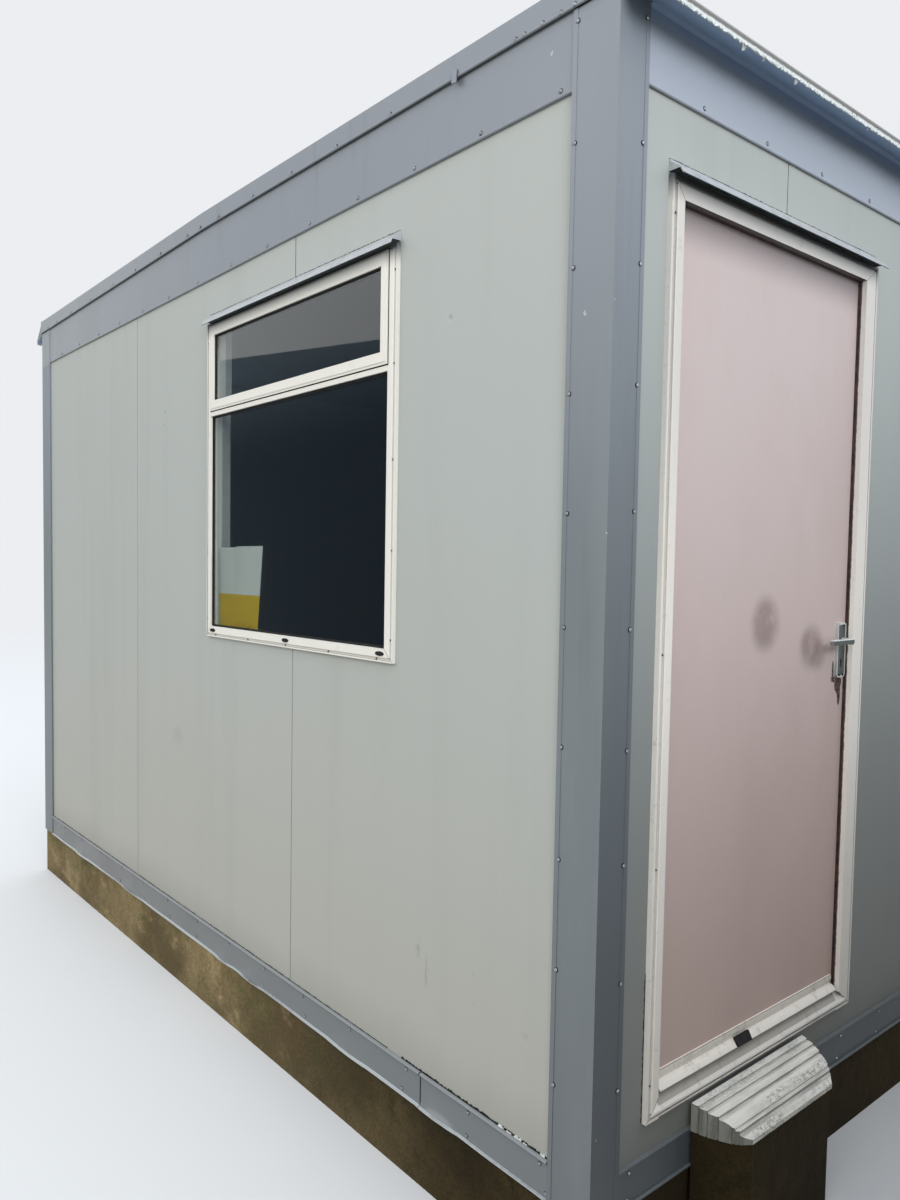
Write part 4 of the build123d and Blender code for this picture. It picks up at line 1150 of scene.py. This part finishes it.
def addCards():
    columns, rows = fittingLook["cardSteps"]
    for name, start, end, low, high, depth, swell, lean in fittingLook["cards"]:
        def cardPoint(column, row):
            share = column / columns
            bulge = swell * math.sin(math.pi * share) * (0.4 + 0.6 * row / rows)
            along = start + (end - start) * share + lean * (1 - row / rows)
            return along, low + (high - low) * row / rows, depth + bulge
        sheetPiece(name, "window", cardPoint, columns, rows, 0.0012, card)


def patchPoint(column, row):
    # a dark strip stuck over the weather bar
    look = fittingLook
    share = row / 2
    left, right = look["patchEnds"]
    (lowUp, lowOut), (highUp, highOut) = look["patchFoot"], look["patchHead"]
    along = left + (right - left) * column / 3 + look["patchLean"] * share
    return along, lowUp + (highUp - lowUp) * share, lowOut + (highOut - lowOut) * share


def addFittings():
    look = fittingLook
    caps = [fixing("window", along, 1.082, 0.005) for along in look["caps"]]
    stackPiece("weep_caps", oval(*look["capSize"], 20), look["capLayers"], caps, rubber)
    addCards()
    key = [fixing("door", *look["key"], -0.008)]
    stackPiece("keyhole", keyOutline(), look["keyLayers"], key, rubber, "door")
    sheetPiece("bar_patch", "door", patchPoint, 3, 2, 0.005, rubber, "door")
    raggedPiece("jamb_bead", "door", *look["jambBead"], rubber, upright=True, pitch=0.006)


addFittings()
print("fittings added")


# torn coating: chalky flakes (along, half width, drop) on the eave lips, one torn end on the verge
tornLook = {
    "eave": [
        (0.325, 0.008, 0.012), (0.406, 0.005, 0.006), (0.545, 0.008, 0.011), (0.905, 0.005, 0.006),
        (1.24, 0.006, 0.007), (2.15, 0.007, 0.008)],
    "bead": [
        (-0.0045, 2.48), (-0.0045, 2.47), (-0.003, 2.4715), (0.001, 2.476), (0.006, 2.4775),
        (0.005, 2.48)],
    "verge": [(0.47, 2.505, 0.008), (0.486, 2.507, 0.0085), (0.484, 2.474, 0.012), (0.463, 2.468, 0.015)],
}


def vergePoint(column, row):
    top, foot = tornLook["verge"][column], tornLook["verge"][3 - column]
    share = 1 - row / 3
    return tuple(top[i] + (foot[i] - top[i]) * share for i in range(3))


def tearCoating():
    look = tornLook
    random.seed(8)
    lip = eaveFoot - flashingTop
    for wall in ("door", "back"):
        end = wallLength[wall] - 0.004
        raggedPiece(wall + "_lip_chalk", wall, 0.004, end, lip + 0.003, -0.0042, 0.7, 0.0766, 0.002, chalk)
        ends = [postReach["short"], wallLength[wall] - postReach["short"]]
        runPiece(wall + "_eave_bead", wall, look["bead"], ends, lambda along, height: (0.0, 0.0), eave)
        for number, (along, half, drop) in enumerate(look["eave"], 1):
            def flakePoint(column, row):
                lean = (0.3 * half, -0.2 * half, 0.5 * half)[column]
                fall = drop * row / 2 * (0.8, 1.0, 0.7)[column]
                across = half * (column - 1) * (1 - 0.25 * row)
                return along + across + lean * row / 2, lip + 0.002 - fall, 0.075 - 0.003 * row
            sheetPiece(wall + "_eave_flake_" + str(number), wall, flakePoint, 2, 2, 0.001, chalk)
    sheetPiece("verge_flake", "window", vergePoint, 1, 3, 0.0012, trim)


tearCoating()
print("torn coating added")


# stage: a pale floor that runs into a white sky, soft daylight
# a flag is a dark board beside the set: one shades the door wall's foot, one darkens the glass
# a lamp is (name, place, target, size, watts, tint, hidden from the camera and from mirrors)
stageLook = {
    "sky": "eceef1",
    "skyLight": "e6ecf5",
    "floor": "dcdcda",
    "floorPatch": "d2d2cf",
    "bounce": "8a857b",
    "daylight": 1.5,
    "roomLight": 2.4,
    "floorReach": 60.0,
    "flags": [
        ("door_flag", [(-2.1, -3.4, 0.0), (5.0, -3.4, 0.0), (5.0, -3.4, 3.2), (-2.1, -3.4, 1.75)],
         "3c3a36", "3c3a36", ("diffuse", "shadow")),
        ("glass_flag", [(-9.0, -15.0, 0.0), (-9.0, 25.0, 0.0), (-9.0, 25.0, 7.03), (-9.0, -15.0, 2.79)],
         "4c5a66", "84929c", ("glossy", "transmission"))],
    "lamps": [
        ("left_light", (-9.0, 2.5, 6.0), (-1.2, 0.0, 1.3), 6.0, 165, "fff6ea", False),
        ("room_light", (-0.7, -1.2, 1.9), (-1.2, 0.0, 1.75), 0.6, 4, "f2f4ff", True),
        ("front_light", (-3.0, -6.5, 4.0), (-0.6, -1.8, 2.4), 3.0, 150, "f4f7ff", False)],
}


def seenDirectly(f):
    # 1 for what the camera sees straight, mirrored or through glass
    path = [f.node("ShaderNodeLightPath", out=name) for name in
            ("Is Camera Ray", "Is Glossy Ray", "Is Transmission Ray")]
    seen = path[0].calc("MAXIMUM", path[0], path[1])
    return seen.calc("MAXIMUM", seen, path[2])


def makeWorld():
    look = stageLook
    world = bpy.data.worlds.new("sky")
    bpy.context.scene.world = world
    f = Finish("sky", world)
    light = f.node("ShaderNodeBackground", sockets={"Color": look["skyLight"], "Strength": look["daylight"]})
    bounced = f.node("ShaderNodeLightPath", out="Diffuse Depth") > 0.5
    strength = 1 - bounced * (1 - look["roomLight"])
    shown = f.node("ShaderNodeBackground", sockets={"Color": look["sky"], "Strength": strength})
    both = f.node("ShaderNodeMixShader", sockets={0: seenDirectly(f), 1: light, 2: shown})
    f.node("ShaderNodeOutputWorld", sockets={"Surface": both})


def makeFloor():
    look = stageLook
    f = Finish("stage_floor")
    p = f.place()
    far = f.node("ShaderNodeVectorMath", {"operation": "LENGTH"}, {0: p}, out="Value")
    edge = f.fade(far, 5.0, 22.0)
    plain = f.mix(f.noise(p, 2.0, 4.0) * 0.1, look["floor"], look["floorPatch"])
    seen = seenDirectly(f)
    colour = f.mix(seen, look["bounce"], plain)
    matte = f.node("ShaderNodeBsdfDiffuse", sockets={"Color": colour})
    glow = f.node("ShaderNodeEmission", sockets={"Color": look["sky"], "Strength": 1.0})
    both = f.node("ShaderNodeMixShader", sockets={0: edge * seen, 1: matte, 2: glow})
    f.node("ShaderNodeOutputMaterial", sockets={"Surface": both})
    reach = look["floorReach"]
    corners = [(-reach, -reach, 0), (reach, -reach, 0), (reach, reach, 0), (-reach, reach, 0)]
    addBoard("stage_floor", corners, f.owner)


def addBoard(name, corners, finish):
    # a flat face of the stage
    mesh = bpy.data.meshes.new(name)
    mesh.from_pydata(corners, [], [(0, 1, 2, 3)])
    mesh.materials.append(finish)
    board = bpy.data.objects.new(name, mesh)
    bpy.context.scene.collection.objects.link(board)
    return board


def makeFlag(name, corners, shade, upperShade, seenBy):
    f = Finish(name)
    rise = f.fade(f.axes(f.place())[2], 3.6, 6.0)
    matte = f.node("ShaderNodeBsdfDiffuse", sockets={"Color": f.mix(rise, shade, upperShade)})
    f.node("ShaderNodeOutputMaterial", sockets={"Surface": matte})
    flag = addBoard(name, corners, f.owner)
    for ray in ("camera", "diffuse", "glossy", "transmission", "shadow"):
        setattr(flag, "visible_" + ray, ray in seenBy)


def softLamp(name, place, target, size, watts, tint, hidden):
    lamp = bpy.data.lights.new(name, "AREA")
    lamp.shape = "DISK"
    lamp.size = size
    lamp.energy = watts
    lamp.color = tone(tint)[:3]
    holder = bpy.data.objects.new(name, lamp)
    holder.location = place
    holder.rotation_euler = (Vector(target) - Vector(place)).to_track_quat("-Z", "Y").to_euler()
    if hidden:
        for ray in ("camera", "glossy", "transmission"):
            setattr(holder, "visible_" + ray, False)
    bpy.context.scene.collection.objects.link(holder)


makeWorld()
makeFloor()
for flagSettings in stageLook["flags"]:
    makeFlag(*flagSettings)
for lampSettings in stageLook["lamps"]:
    softLamp(*lampSettings)


# the photograph's viewing angle: place in metres, turns in degrees, lens in millimetres
viewLook = {
    "place": (-2.7744, -2.9712, 1.6315),
    "heading": 37.72,
    "pitch": -3.011,
    "roll": 0.721,
    "lens": 27.03,
    "shiftX": 0.0617,
    "shiftY": 0.0093,
}


def makeCamera():
    look = viewLook
    lens = bpy.data.cameras.new("photo_view")
    lens.lens = look["lens"]
    lens.sensor_width = 36.0
    lens.shift_x = look["shiftX"]
    lens.shift_y = look["shiftY"]
    lens.clip_end = 200.0
    heading = Matrix.Rotation(-math.radians(look["heading"]), 4, "Z")
    pitch = Matrix.Rotation(math.radians(90 + look["pitch"]), 4, "X")
    roll = Matrix.Rotation(math.radians(look["roll"]), 4, "Z")
    holder = bpy.data.objects.new("photo_view", lens)
    holder.matrix_world = Matrix.Translation(look["place"]) @ heading @ pitch @ roll
    bpy.context.scene.collection.objects.link(holder)
    bpy.context.scene.camera = holder


makeCamera()
bpy.context.scene.view_settings.view_transform = "Standard"
print("stage, light and camera ready")
